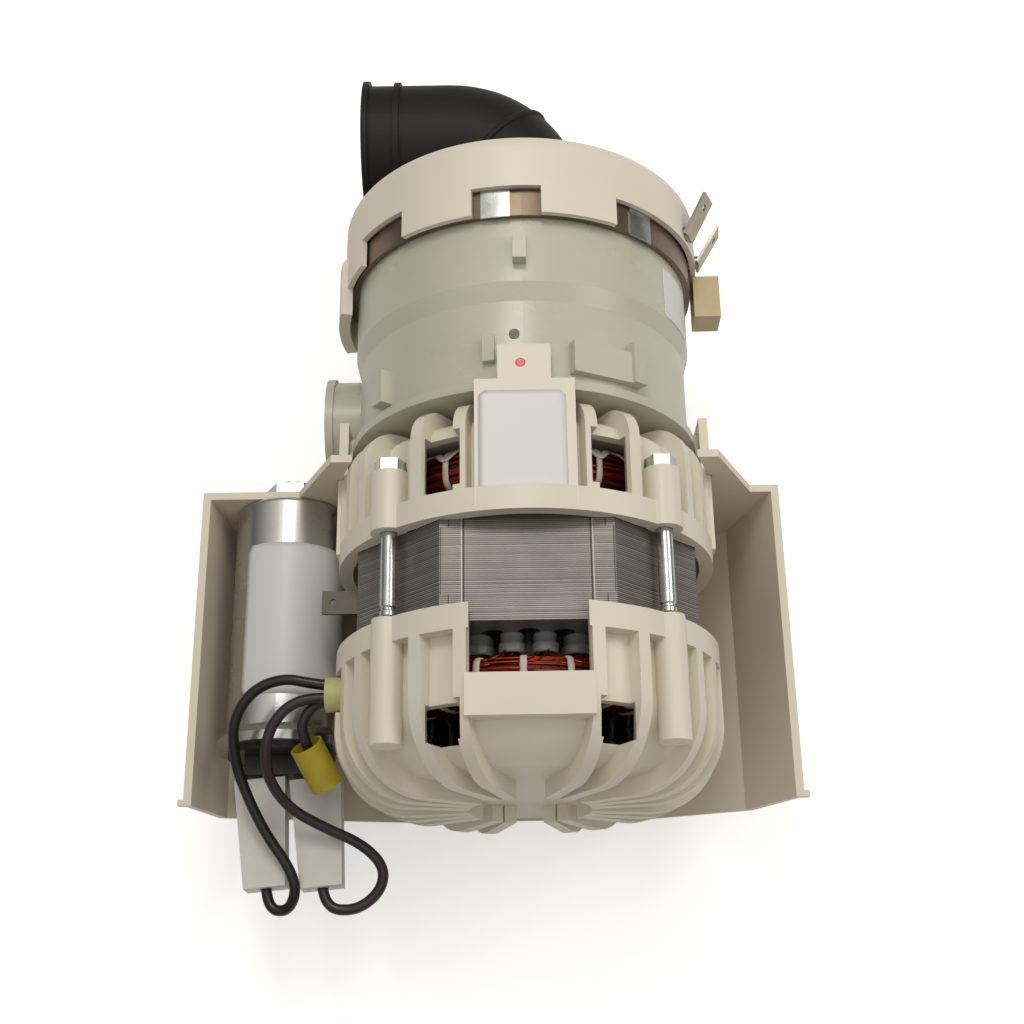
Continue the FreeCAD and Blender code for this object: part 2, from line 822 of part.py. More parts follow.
def front_shield():
    seat = d.stack_length
    shell, ribs, bosses, holes = ribbed_drum(
        "front", seat, 1, d.front_overlap, d.front_band, d.front_depth, d.front_round,
        d.bolt_head_start)
    wall_plane = seat + d.front_depth - d.rib_depth
    hub = bearing_seat("front_seat", d.front_bearing_start - 0.5, wall_plane)
    top = d.axis_height + d.plate_top
    plate = block(2 * d.plate_half_width, d.plate_far - d.plate_near, d.plate_thickness,
                  -d.plate_half_width, d.plate_near, top - d.plate_thickness)
    tongue = block(2 * d.tongue_half_width, d.tongue_far - d.plate_far + 1, d.plate_thickness,
                   -d.tongue_half_width, d.plate_far - 1, top - d.plate_thickness)
    webs = []
    for x in (-d.plate_half_width, d.plate_half_width - d.plate_thickness):
        webs.append(block(d.plate_thickness, d.front_depth - d.front_round,
                          d.plate_top - d.drum_radius + d.plate_sink, x, seat + d.front_band,
                          top - d.plate_top + d.drum_radius - d.plate_sink))
    arms = []
    arm_windows = []
    for right in (-1, 1):
        inner = d.arm_inside
        x = right * inner if right > 0 else -inner - d.arm_thickness
        arms.append(block(d.arm_thickness, d.arm_far - seat, 2 * d.arm_half_width,
                          x, seat, d.axis_height - d.arm_half_width))
        foot = x - d.arm_foot if right > 0 else x
        arms.append(block(d.arm_thickness + d.arm_foot, d.front_depth - d.front_round,
                          2 * d.arm_half_width, foot, seat, d.axis_height - d.arm_half_width))
        arm_windows.append(block(d.arm_thickness + 2, d.arm_window, d.arm_window,
                                 x - 1, d.arm_far - d.arm_window - d.arm_thickness,
                                 d.axis_height - d.arm_window / 2))
    body = fuse([shell, ribs, hub, plate, tongue] + webs + arms + bosses)
    windows = []
    width = d.front_window_outer - d.front_window_inner
    for x in (d.front_window_inner, -d.front_window_outer):
        for z in (d.axis_height + d.front_window_low,
                  d.axis_height - d.front_window_low - d.front_window_height):
            windows.append(block(width, d.front_window_far - d.front_window_near,
                                 d.front_window_height, x, d.front_window_near, z))
    room = stack_room(seat - d.front_overlap - 1, d.front_overlap + 1)
    keep(cut(body, windows + arm_windows + holes + [room]), "front_end_shield")


def bearing_sleeves():
    for label, start in (("rear", d.rear_bearing_start), ("front", d.front_bearing_start)):
        sleeve = d.bearing_outer + d.bearing_sleeve
        keep(turned(label + "_bearing_sleeve", [
            (start, d.bearing_outer), (start + d.bearing_width, d.bearing_outer),
            (start + d.bearing_width, sleeve), (start, sleeve)]), label + "_bearing_sleeve")


def through_bolts():
    """Four long screws with hex heads on the pump side, and two rolled grooves near the far end."""
    bolts = []
    head_radius = d.bolt_head_flats / math.sqrt(3)
    for right in (-1, 1):
        for top in (-1, 1):
            x = right * d.bolt_place
            z = d.axis_height + top * d.bolt_place
            full, small, width = d.bolt_radius, d.bolt_radius - d.bolt_groove, d.bolt_groove_width
            section = [(d.bolt_end, 0), (d.bolt_head_start + 0.1, 0), (d.bolt_head_start + 0.1, full)]
            for groove in (d.bolt_groove_place + d.bolt_groove_step, d.bolt_groove_place):
                section += [(groove + width, full), (groove + width / 2, small),
                            (groove - width / 2, small), (groove - width, full)]
            shank = turned("bolt_shank", section + [(d.bolt_end, full)], x, z)
            head = doc.addObject("Part::Prism", "head")
            head.Polygon = 6
            bind(head, Circumradius=head_radius, Height=d.bolt_head_height)
            place(head, x, d.bolt_head_start, z, ALONG_Y)
            bolts.append(fuse([shank, head]))
    keep(fuse(bolts), "through_bolts")


# Pump bowl: stepped translucent shell with a side outlet, ribs, a hook each side and a clamp flange

def bowl_inside(label, grow=0):
    small = d.bowl_small_radius - d.bowl_wall
    large = d.bowl_large_radius - d.bowl_wall
    floor = d.bowl_back + d.bowl_back_wall
    return turned(label, [
        (floor, 0), (d.flange_plane + grow, 0), (d.flange_plane + grow, large),
        (d.bowl_shoulder + d.bowl_shoulder_length, large), (d.bowl_shoulder, small), (floor, small)])


def pump_bowl():
    small = d.bowl_small_radius
    large = d.bowl_large_radius
    floor = d.bowl_back + d.bowl_back_wall
    face = d.flange_plane - d.gasket_thickness / 2
    step = d.bowl_shoulder + d.bowl_shoulder_length
    shell = turned("bowl_shell", [
        (d.bowl_back, d.seal_hole), (floor + d.seal_boss_reach, d.seal_hole),
        (floor + d.seal_boss_reach, d.seal_hole + d.bowl_wall),
        (floor, d.seal_hole + d.bowl_wall), (floor, small - d.bowl_wall),
        (d.bowl_shoulder, small - d.bowl_wall), (step, large - d.bowl_wall),
        (face, large - d.bowl_wall), (face, d.bowl_flange_radius),
        (face - d.flange_width, d.bowl_flange_radius), (face - d.flange_width, large),
        (step, large), (d.bowl_shoulder, small), (floor, small), (floor, d.bowl_lip_radius),
        (d.bowl_back, d.bowl_lip_radius)])
    drop = d.axis_height - d.outlet_drop
    spout = cylinder(d.outlet_radius, d.outlet_mouth - d.outlet_start, -d.outlet_start,
                     d.outlet_along, drop, ALONG_LEFT)
    bead = cylinder(d.outlet_radius + d.outlet_bead, d.outlet_bead * 2.5,
                    d.outlet_bead * 2.5 - d.outlet_mouth, d.outlet_along, drop, ALONG_LEFT)
    collar = cylinder(d.outlet_radius + d.outlet_bead, d.outlet_collar - d.outlet_start,
                      -d.outlet_start, d.outlet_along, drop, ALONG_LEFT)
    spout = cut(fuse([spout, bead, collar]), [bowl_inside("bowl_room", 1)])
    sunk = small - 1.5
    details = [
        block(d.nub_width, d.nub_length, d.nub_height, d.nub_across - d.nub_width / 2, d.nub_along,
              d.axis_height + large - 1.2),
        radial_bar(plain(d.left_post_angle), d.boss_radius, sunk, small + d.post_rise,
                   d.left_post_start, d.boss_radius * 2),
        radial_bar(plain(d.pad_angle), d.pad_width, sunk, small + d.pad_rise, d.pad_start,
                   d.pad_length),
        radial_bar(plain(d.right_post_angle), d.bowl_post, sunk, small + d.post_rise,
                   d.right_post_start, d.bowl_post * 3),
        radial_bar(plain(d.small_post_angle), d.bowl_post * 0.8, sunk, small + d.pad_rise,
                   d.small_post_start, d.bowl_post * 2),
    ]
    for right in (-1, 1):
        reach = d.arm_inside + d.arm_thickness - small + 2 - d.hook_gap
        x = small - 2 if right > 0 else -(small - 2) - reach
        details.append(block(reach, d.arm_window - 2 * d.hook_gap, 2 * d.hook_half_width, x,
                             d.arm_far - d.arm_window - d.arm_thickness + d.hook_gap,
                             d.axis_height - d.hook_half_width))
    body = fuse([shell, spout] + details)
    passage = cylinder(d.outlet_radius - d.outlet_wall, d.outlet_mouth - d.outlet_inside + 1,
                       -d.outlet_inside, d.outlet_along, drop, ALONG_LEFT)
    under_plate = d.axis_height + d.plate_top - d.plate_thickness - d.running_gap
    plate_room = block(2 * (d.plate_half_width + d.running_gap), floor - d.bowl_back + 1.5,
                       d.plate_thickness * 2, -(d.plate_half_width + d.running_gap),
                       d.bowl_back - 1, under_plate)
    keep(cut(body, [passage, plate_room]), "pump_bowl")


# Impeller: hub, back disc, curved blades and a front disc with the eye

def impeller():
    start = d.impeller_start
    disc_end = start + d.impeller_disc
    blade_end = disc_end + d.impeller_blade_height
    bore = d.shaft_radius - 1
    hub = turned("impeller_back", [
        (start, bore), (blade_end + 1, bore), (blade_end - 2, d.impeller_hub),
        (disc_end, d.impeller_hub), (disc_end, d.impeller_radius), (start, d.impeller_radius)])
    front = turned("impeller_front", [
        (blade_end, d.impeller_eye), (blade_end + d.impeller_disc * 0.7, d.impeller_eye),
        (blade_end + d.impeller_disc * 0.7, d.impeller_radius), (blade_end, d.impeller_radius)])
    centre = d.impeller_blade_centre
    curve = d.impeller_blade_curve
    outer = curve + d.impeller_blade_wall
    begin, finish = d.impeller_blade_begin, d.impeller_blade_finish
    blades = []
    count = int(plain(d.impeller_blades))
    for index in range(count):
        blade = extruded("impeller_blade_%d" % index, [
            (centre + curve * cosine(begin), curve * sine(begin)),
            (centre + curve * cosine(finish), curve * sine(finish), centre, 0),
            (centre + outer * cosine(finish), outer * sine(finish)),
            (centre + outer * cosine(begin), outer * sine(begin), centre, 0),
        ], disc_end - 0.2, d.impeller_blade_height + 0.4)
        turn = Rotation(Vector(0, 1, 0), 360.0 * index / count)
        place(blade, 0, disc_end - 0.2, d.axis_height, turn)
        blades.append(blade)
    keep(fuse([hub, front] + blades), "impeller")


def guide_plate():
    """The dividing plate over the impeller, with the throat that feeds its eye."""
    start = d.bowl_shoulder + d.bowl_shoulder_length
    end = start + d.guide_plate_wall
    edge = d.bowl_large_radius - d.bowl_wall - d.running_gap
    throat = d.impeller_eye
    near = d.impeller_start + 2 * d.impeller_disc + d.impeller_blade_height + d.running_gap
    keep(turned("guide_plate", [
        (near, throat - 1.5), (end, throat - 1.5), (end, edge), (start, edge), (start, throat),
        (near, throat)]), "guide_plate")


def shaft_seal():
    seat_end = d.bowl_back + d.seal_seat_width
    ring_start = seat_end + 0.05
    ring_end = ring_start + d.seal_ring_width
    keep(turned("seal_seat", [
        (d.bowl_back, d.shaft_radius + 1), (seat_end, d.shaft_radius + 1),
        (seat_end, d.seal_seat_outer), (d.bowl_back, d.seal_seat_outer)]), "seal_seat")
    keep(turned("seal_ring", [
        (ring_start, d.shaft_radius), (ring_end, d.shaft_radius), (ring_end, d.seal_ring_outer),
        (ring_start, d.seal_ring_outer)]), "seal_ring")
    middle = (ring_end + d.impeller_start) / 2
    keep(turned("seal_bellows", [
        (ring_end, d.shaft_radius), (d.impeller_start, d.shaft_radius),
        (d.impeller_start, d.seal_spring_outer), (middle, d.seal_spring_outer - 1),
        (ring_end, d.seal_spring_outer)]), "seal_bellows")


# Inlet cap: double walled, with clamp flange, hose neck and tabs over the clamp band

def sector(radius, start, length, angle, centre):
    """A pie slice about the motor axis, centred on an angle from the top."""
    item = doc.addObject("Part::Cylinder", "sector")
    bind(item, Radius=radius, Height=length, Angle=angle)
    middle = Rotation(Vector(0, 1, 0), centre)
    first = Rotation(Vector(0, 0, 1), -90 - plain(angle) / 2)
    return place(item, 0, start, d.axis_height, middle.multiply(ALONG_Y).multiply(first))


def inlet_cap():
    face = d.flange_plane + d.gasket_thickness / 2
    inner = d.bowl_large_radius - d.bowl_wall
    inner_wall = inner + d.cap_wall
    shut = d.cap_front - d.cap_wall
    neck_end = d.cap_front + d.neck_length
    radius = d.cap_radius
    shell = turned("cap_shell", [
        (face, inner), (shut, inner), (shut, d.neck_radius - d.neck_wall),
        (neck_end, d.neck_radius - d.neck_wall), (neck_end, d.neck_radius),
        (d.cap_front, d.neck_radius), (d.cap_front, radius - d.cap_round),
        (d.cap_front - d.cap_round, radius, d.cap_front - d.cap_round, radius - d.cap_round),
        (d.cap_skirt_start, radius), (d.cap_skirt_start, radius - d.tab_wall),
        (shut, radius - d.tab_wall), (shut, inner_wall), (face + d.flange_width, inner_wall),
        (face + d.flange_width, d.bowl_flange_radius), (face, d.bowl_flange_radius)])
    ring = turned("tab_ring", [
        (d.cap_tab_start, radius - d.tab_wall), (d.cap_skirt_start + 0.5, radius - d.tab_wall),
        (d.cap_skirt_start + 0.5, radius), (d.cap_tab_start, radius)])
    slices = []
    for index in range(int(plain(d.cap_tab_count))):
        angle = plain(d.cap_tab_first) + 360.0 * index / plain(d.cap_tab_count)
        if index in (2, 3):
            continue
        slices.append(sector(radius + 1, d.cap_tab_start - 1, 12, d.cap_tab_angle, angle))
    tabs = common(ring, fuse(slices))
    ear_ring = turned("ear_ring", [
        (d.ear_start, radius - d.tab_wall), (d.cap_skirt_start + 2, radius - d.tab_wall),
        (d.cap_skirt_start + 2, radius + 0.1), (d.cap_skirt_start, radius + d.ear_rise),
        (d.ear_start, radius + d.ear_rise)])
    ear = common(ear_ring, sector(radius + 5, d.ear_start - 1, 30, d.ear_angle, -90 + 2))
    holes = []
    for angle in (d.first_blade_angle, d.second_blade_angle):
        holes.append(post(angle, d.post_radius + 0.25, inner - 3, radius + 2))
    keep(cut(fuse([shell, tabs, ear]), holes), "inlet_cap")


def post(angle, radius, low, high):
    """A round post that stands on a radius of the motor axis, at the heater's plane."""
    item = doc.addObject("Part::Cylinder", "post")
    bind(item, Radius=radius, Height=high - low)
    place(item, 0, d.heater_place, 0, Rotation(Vector(0, 1, 0), plain(angle)))
    item.setExpression("Placement.Base.x", text(low * sine(angle)))
    item.setExpression("Placement.Base.z", text(d.axis_height + low * cosine(angle)))
    return item


def clamp():
    """The clamp band: a channel of thin steel over both flanges, and its two crimp sleeves."""
    half = d.gasket_thickness / 2 + d.flange_width
    first = d.flange_plane - half - d.band_gap
    last = d.flange_plane + half + d.band_gap
    inside = d.bowl_flange_radius + d.band_gap
    outside = inside + d.band_wall
    lip = d.bowl_large_radius + 0.5
    keep(turned("clamp_band", [
        (first - d.band_wall, lip), (first, lip), (first, inside), (last, inside), (last, lip),
        (last + d.band_wall, lip), (last + d.band_wall, outside),
        (first - d.band_wall, outside)]), "clamp_band")
    sleeves = []
    for angle in (d.first_crimp_angle, d.second_crimp_angle):
        ring = turned("crimp_ring", [
            (first - d.band_wall - 0.4, outside), (last + d.band_wall + 0.4, outside),
            (last + d.band_wall + 0.4, outside + d.crimp_rise),
            (first - d.band_wall - 0.4, outside + d.crimp_rise)])
        sleeves.append(common(ring, sector(d.cap_radius + 4, first - 3, 14, d.crimp_angle,
                                           plain(angle))))
    keep(fuse(sleeves), "clamp_sleeves")
    plane = d.flange_plane
    keep(turned("housing_gasket", [
        (plane - d.gasket_thickness / 2, inside - 3), (plane + d.gasket_thickness / 2, inside - 3),
        (plane + d.gasket_thickness / 2, inside - 0.4),
        (plane - d.gasket_thickness / 2, inside - 0.4)]), "housing_gasket")


def heater():
    ring = doc.addObject("Part::Torus", "heater_ring")
    bind(ring, Radius1=d.heater_ring_radius, Radius2=d.heater_tube_radius)
    ring.Angle3 = 320
    turn = ALONG_Y.multiply(Rotation(Vector(0, 0, 1), -10))
    keep(place(ring, 0, d.heater_place, d.axis_height, turn), "heater_ring")
    blades = []
    low = d.heater_ring_radius + d.heater_tube_radius - 0.5
    high = d.cap_radius + d.blade_thickness
    tilt = Rotation(Vector(1, 0, 0), -60)
    for angle in (d.first_blade_angle, d.second_blade_angle):
        stem = post(angle, d.post_radius, low + 0.5, high + d.blade_thickness / 2)
        blade = doc.addObject("Part::Box", "blade")
        bind(blade, Length=d.blade_width, Width=d.blade_thickness, Height=d.blade_length)
        hole = doc.addObject("Part::Cylinder", "blade_hole")
        bind(hole, Radius=d.blade_hole, Height=4)
        turn = Rotation(Vector(0, 1, 0), plain(angle))
        frame = turn.multiply(tilt)
        root_point = Vector(0, plain(d.heater_place) - 1.6, plain(high) + 0.15)
        corner = turn.multVec(root_point) + frame.multVec(Vector(-plain(d.blade_width) / 2, 0, 0))
        place(blade, corner.x, corner.y, plain(d.axis_height) + corner.z, frame)
        eye = turn.multVec(root_point) + frame.multVec(
            Vector(0, 2, plain(d.blade_length) - plain(d.blade_width) / 2))
        place(hole, eye.x, eye.y, plain(d.axis_height) + eye.z,
              frame.multiply(Rotation(Vector(1, 0, 0), 90)))
        blades.append(cut(fuse([stem, blade]), [hole]))
    keep(fuse(blades), "heater_terminals")


def sensor_connector():
    x = d.cap_radius - 0.9
    y = d.cap_skirt_start - 0.2 - d.socket_length
    z = d.axis_height - d.socket_height * 0.6
    body = block(d.socket_depth, d.socket_length, d.socket_height, x, y, z)
    cell = (d.socket_length - 3 * d.socket_wall) / 2
    hollows = []
    pins = []
    for index in range(2):
        start = y + d.socket_wall + index * (cell + d.socket_wall)
        hollows.append(block(d.socket_depth, cell, d.socket_height - 2 * d.socket_wall,
                             x + d.socket_wall * 1.6, start, z + d.socket_wall))
        pins.append(block(d.socket_depth * 0.7, 0.8, 2.4, x + d.socket_wall * 1.6,
                          start + cell / 2 - 0.4, z + d.socket_height / 2 - 1.2))
    keep(cut(body, hollows), "sensor_connector")
    keep(fuse(pins), "connector_pins")


# Rubber inlet elbow: a quarter bend with a lip, two beads and a cuff over the neck of the cap

def elbow_solid(radius, start, mouth):
    turn_centre = -d.elbow_bend
    leg = cylinder(radius, d.elbow_turn - start, 0, start, d.axis_height)
    bend = doc.addObject("Part::Torus", "bend")
    bind(bend, Radius1=d.elbow_bend, Radius2=radius)
    bend.Angle3 = 90
    place(bend, turn_centre, d.elbow_turn, d.axis_height)
    arm = cylinder(radius, mouth - d.elbow_bend, turn_centre, d.elbow_turn + d.elbow_bend,
                   d.axis_height, ALONG_LEFT)
    return [leg, bend, arm]


def inlet_elbow():
    y = d.elbow_turn + d.elbow_bend
    lip = cylinder(d.elbow_radius + d.elbow_lip, d.elbow_lip_width,
                   d.elbow_lip_width - d.elbow_mouth, y, d.axis_height, ALONG_LEFT)
    bead = cylinder(d.elbow_radius + d.elbow_lip * 0.7, d.elbow_lip_width, -d.elbow_ring_place, y,
                    d.axis_height, ALONG_LEFT)
    cuff = cylinder(d.elbow_radius + d.elbow_lip * 0.8, d.elbow_lip_width * 2.4, 0,
                    d.cap_front + 3, d.axis_height)
    crease = doc.addObject("Part::Torus", "crease")
    bind(crease, Radius1=d.elbow_radius - 0.2, Radius2=d.elbow_lip * 0.7)
    place(crease, 0, 0, d.axis_height, Rotation(Vector(0, 0, 1), 45).multiply(ALONG_Y))
    crease.setExpression("Placement.Base.x", text(d.elbow_bend * (cosine(45) - 1)))
    crease.setExpression("Placement.Base.y", text(d.elbow_turn + d.elbow_bend * sine(45)))
    outside = elbow_solid(d.elbow_radius, d.cap_front + 0.2, d.elbow_mouth)
    inside = elbow_solid(d.elbow_radius - d.elbow_wall, d.cap_front - 1, d.elbow_mouth + 1)
    keep(cut(fuse(outside + [lip, bead, cuff, crease]), inside), "inlet_elbow")


# Support tray: a folded trough with a far end wall whose gussets rise beside the motor

def support_tray():
    wall = d.tray_wall
    floor = -d.axis_height
    shelf = -d.tray_shelf
    top = -d.tray_top
    outer = [
        (-d.tray_left, top), (-d.tray_fold_left - wall, shelf - wall / 2),
        (-d.tray_trough - wall / 3, floor), (d.tray_trough + wall / 3, floor),
        (d.tray_fold_right + wall, shelf - wall / 2), (d.tray_right, top)]
    inner = [
        (d.tray_right - wall, top), (d.tray_fold_right, shelf), (d.tray_trough, floor + wall),
        (-d.tray_trough, floor + wall), (-d.tray_fold_left, shelf), (-d.tray_left + wall, top)]
    trough = extruded("trough", outer + inner, -d.tray_near, d.tray_near + d.tray_far)
    far = extruded("end_wall", outer + [
        (d.tray_gusset_outer, top), (d.tray_gusset_inner, d.tray_gusset_rise),
        (-d.tray_gusset_inner, d.tray_gusset_rise), (-d.tray_gusset_outer, top)],
        d.tray_far - wall, wall)
    bend = d.stack_length + d.front_depth - d.front_round
    near_face = d.tray_far - wall - bend
    saddle = d.rim_radius - d.front_round + root(
        d.front_round * d.front_round - near_face * near_face) + d.running_gap
    tools = [cylinder(saddle, wall + 2, 0, d.tray_far - wall - 1, d.axis_height)]
    gap = d.running_gap
    tools.append(block(2 * (d.arm_inside + d.arm_thickness + gap), wall + 2,
                       2 * (d.arm_half_width + gap), -(d.arm_inside + d.arm_thickness + gap),
                       d.tray_far - wall - 1, d.axis_height - d.arm_half_width - gap))
    tools.append(cylinder(d.stud_radius + 0.2, wall + 2, -d.can_across, d.tray_far - wall - 1,
                          d.axis_height - d.can_drop))
    spout_room = cylinder(d.outlet_radius + 1, 40, -45, d.outlet_along,
                          d.axis_height - d.outlet_drop, ALONG_LEFT)
    tools.append(spout_room)
    lips = []
    for x in (-d.tray_left - d.tray_lip, d.tray_right - wall / 2):
        lips.append(block(d.tray_lip + wall / 2, 1.6, 3.0, x, -d.tray_near,
                          d.axis_height - d.tray_top - 3.0))
    front_room = doc.addObject("Part::Box", "draft_room")
    bind(front_room, Length=220, Width=30, Height=120)
    place(front_room, -110, -d.tray_near - 30 * cosine(d.tray_draft) + 60 * sine(d.tray_draft),
          d.axis_height - d.tray_top - 30 * sine(d.tray_draft) - 60 * cosine(d.tray_draft),
          Rotation(Vector(1, 0, 0), plain(d.tray_draft)))
    tools.append(front_room)
    keep(cut(fuse([trough, far] + lips), tools), "support_tray")


# Run capacitor and its terminals

def capacitor():
    end = d.tray_far - d.tray_wall
    near = d.can_near
    z = d.axis_height - d.can_drop
    x = -d.can_across
    radius = d.can_radius
    can = turned("can", [
        (near, 0), (end + d.stud_reach, 0), (end + d.stud_reach, d.stud_radius), (end, d.stud_radius),
        (end, radius - 1.5), (end - 1.5, radius, end - 1.5, radius - 1.5),
        (near + 2 * d.can_rim_width, radius), (near + d.can_rim_width, d.can_rim),
        (near, d.can_rim)], x, z)
    keep(can, "capacitor_can")
    base = turned("base_disc", [
        (near - 1.5, 0), (near, 0), (near, d.can_base_radius), (near - 1.5, d.can_base_radius)], x, z)
    middle = x + d.terminal_offset
    tower = block(2 * d.base_half_width, d.can_base_depth - 1, 9.0, middle - d.base_half_width,
                  near - d.can_base_depth, z - 4.5)
    keep(fuse([base, tower]), "capacitor_base")
    blades = []
    sockets = []
    boots = []
    foot = near - d.can_base_depth
    for side in (-1, 1):
        centre = middle + side * d.terminal_spacing / 2
        blades.append(block(d.blade_width, d.terminal_length, d.blade_thickness,
                            centre - d.blade_width / 2, foot - d.terminal_length,
                            z - d.blade_thickness / 2))
        outer = block(d.blade_width + 1.6, 11.0, 3.0, centre - d.blade_width / 2 - 0.8,
                      foot - 12.0, z - 1.5)
        slot = block(d.blade_width + 0.2, 10.2, d.blade_thickness + 0.2,
                     centre - d.blade_width / 2 - 0.1, foot - 11.0,
                     z - d.blade_thickness / 2 - 0.1)
        sockets.append(cut(outer, [slot]))
        boots.append(boot("boot_%s" % ("left" if side < 0 else "right"), centre, foot, z))
    keep(fuse(blades), "capacitor_terminals")
    keep(fuse(sockets), "push_on_sockets")
    keep(boots[0], "terminal_boot_left")
    keep(boots[1], "terminal_boot_right")
    washer = turned("capacitor_washer", [
        (d.tray_far, d.stud_radius + 0.2), (d.tray_far + d.washer_thickness, d.stud_radius + 0.2),
        (d.tray_far + d.washer_thickness, d.washer_radius), (d.tray_far, d.washer_radius)], x, z)
    keep(washer, "capacitor_washer")
    nut = doc.addObject("Part::Prism", "nut")
    nut.Polygon = 6
    bind(nut, Circumradius=d.nut_flats / math.sqrt(3), Height=d.nut_height)
    place(nut, x, d.tray_far + d.washer_thickness, z, ALONG_Y)
    bore = cylinder(d.stud_radius + 0.05, d.nut_height + 2, x,
                    d.tray_far + d.washer_thickness - 1, z)
    keep(cut(nut, [bore]), "capacitor_nut")


def trapezium(label, width, tip, length, height):
    """A tapered block drawn in plan, from the terminal back towards -Y."""
    body = new_body(label)
    sketch = outline(body, label + "_plan", "XY_Plane", [
        (-(width / 2), 0), (-(tip / 2), -length), (tip / 2, -length), (width / 2, 0)])
    pad = body.newObject("PartDesign::Pad", label + "_pad")
    pad.Profile = sketch
    bind(pad, Length=height)
    sketch.Visibility = False
    return body


def boot(label, centre, foot, z):
    """A soft insulating boot over a push on terminal, open at the capacitor and round the wire."""
    wall = d.boot_wall
    start = foot - d.boot_gap
    outer = trapezium(label, d.boot_width, d.boot_width * 0.8, d.boot_length, d.boot_height)
    inner = trapezium(label + "_inside", d.boot_width - 2 * wall, d.boot_width * 0.8 - 2 * wall,
                      d.boot_length - wall, d.boot_height - 2 * wall)
    splay = Rotation(Vector(0, 0, 1), plain(d.boot_splay))
    place(outer, centre, start, z - d.boot_height / 2, splay)
    place(inner, centre, start + 0.01, z - d.boot_height / 2 + wall, splay)
    mouth = cylinder(d.wire_diameter / 2 + 0.15, 4, 0, 0, z, splay.multiply(ALONG_Y))
    mouth.setExpression("Placement.Base.x", text(centre + (d.boot_length + 1) * sine(d.boot_splay)))
    mouth.setExpression("Placement.Base.y", text(start - (d.boot_length + 1) * cosine(d.boot_splay)))
    return cut(outer, [inner, mouth])


def earth_tab():
    reach = d.earth_tab_reach
    x = -(d.stack_flats / 2) - reach
    tab = block(reach, d.blade_width, d.blade_thickness, x, d.earth_tab_along,
                d.axis_height + d.earth_tab_rise)
    hole = cylinder(d.blade_hole, 4, x + 3, d.earth_tab_along + d.blade_width / 2,
                    d.axis_height + d.earth_tab_rise - 1, UPRIGHT)
    keep(cut(tab, [hole]), "earth_tab")


# Sleeves and wires. The route points are chosen by hand, relative to the motor axis.

BLACK_ROUTE = [
    (-45.0, -6.6, 9.9), (-54.0, -5.8, 10.4), (-61.7, -3.9, 10.4), (-69.8, -6.6, 9.0),
    (-74.9, -13.6, 6.2), (-75.0, -22.5, 0.6), (-71.8, -31.5, -4.6), (-67.2, -40.2, -8.2),
    (-61.6, -47.6, -10.4), (-59.6, -53.4, -12.4), (-62.2, -58.2, -16.0),
    (-67.68, -57.2, -16.6), (-68.245, -50.75, -16.6),
]
PURPLE_ROUTE = [
    (-45.0, -9.7, 9.9), (-54.3, -8.6, 9.6), (-61.4, -11.4, 9.6), (-65.9, -18.0, 8.0),
    (-66.6, -26.6, 3.0), (-61.8, -33.8, -3.4), (-52.6, -38.4, -8.0), (-43.2, -42.0, -11.0),
    (-37.4, -47.6, -13.6), (-38.6, -53.6, -15.6), (-45.0, -58.2, -16.4),
    (-53.18, -57.2, -16.6), (-53.745, -50.75, -16.6),
]
SHORT_ROUTE = [
    (-45.0, -8.2, 7.1), (-53.2, -8.8, 6.9), (-57.8, -14.0, 5.8), (-56.9, -19.0, 2.7),
    (-52.4, -26.96, -3.15),
]


def tube(label, route, diameter):
    """A round tube along straight runs joined by arcs that touch them."""
    points = [Vector(x, y, z + plain(d.axis_height)) for x, y, z in route]
    edges = []
    last = points[0]
    radii = []
    for before, corner, after in zip(points, points[1:], points[2:]):
        back, ahead = (before - corner), (after - corner)
        run = min(back.Length, ahead.Length)
        back.normalize()
        ahead.normalize()
        turn = math.pi - back.getAngle(ahead)
        reach = 0.45 * run
        radii.append(reach / math.tan(turn / 2))
        first, second = corner + back * reach, corner + ahead * reach
        middle_way = back + ahead
        middle_way.normalize()
        depth = radii[-1] / math.cos(turn / 2) - radii[-1]
        edges.append(Part.LineSegment(last, first).toShape())
        edges.append(Part.Arc(first, corner + middle_way * depth, second).toShape())
        last = second
    edges.append(Part.LineSegment(last, points[-1]).toShape())
    path = Part.Wire(edges)
    start = (points[1] - points[0]).normalize()
    ring = Part.Wire([Part.makeCircle(diameter / 2, points[0], start)])
    shape = path.makePipeShell([ring], True, True)
    item = doc.addObject("Part::Feature", label)
    item.Shape = shape
    keep(item, label)
    area = math.pi * diameter ** 2 / 4
    print("%s length %.1f, volume over section %.1f, radii %s"
          % (label, path.Length, shape.Volume / area, [round(r, 1) for r in radii]))


def sleeve(label, radius, start, direction, length):
    """A thin open tube around the wires."""
    item = doc.addObject("Part::Cylinder", label)
    bind(item, Radius=radius, Height=length)
    turn = Rotation(Vector(0, 0, 1), direction)
    place(item, start[0], start[1], d.axis_height + start[2], turn)
    inner = doc.addObject("Part::Cylinder", label + "_inside")
    bind(inner, Radius=radius - d.sleeve_wall, Height=length + 2)
    back = direction * (-1.0 / direction.Length)
    place(inner, start[0] + back.x, start[1] + back.y, d.axis_height + start[2] + back.z, turn)
    keep(cut(item, [inner]), label)


def leads():
    sleeve("lead_sleeve_small", d.small_sleeve_radius, (-43.5, -8.2, 9.0), Vector(-1, 0, 0), 7.6)
    sleeve("lead_sleeve_large", d.large_sleeve_radius, (-56.6, -19.4, 2.4), Vector(5.0, -9.0, -6.6),
           12.0)
    width = plain(d.wire_diameter)
    tube("black_wire", BLACK_ROUTE, width)
    tube("purple_wire", PURPLE_ROUTE, width)
    tube("purple_wire_short", SHORT_ROUTE, width)


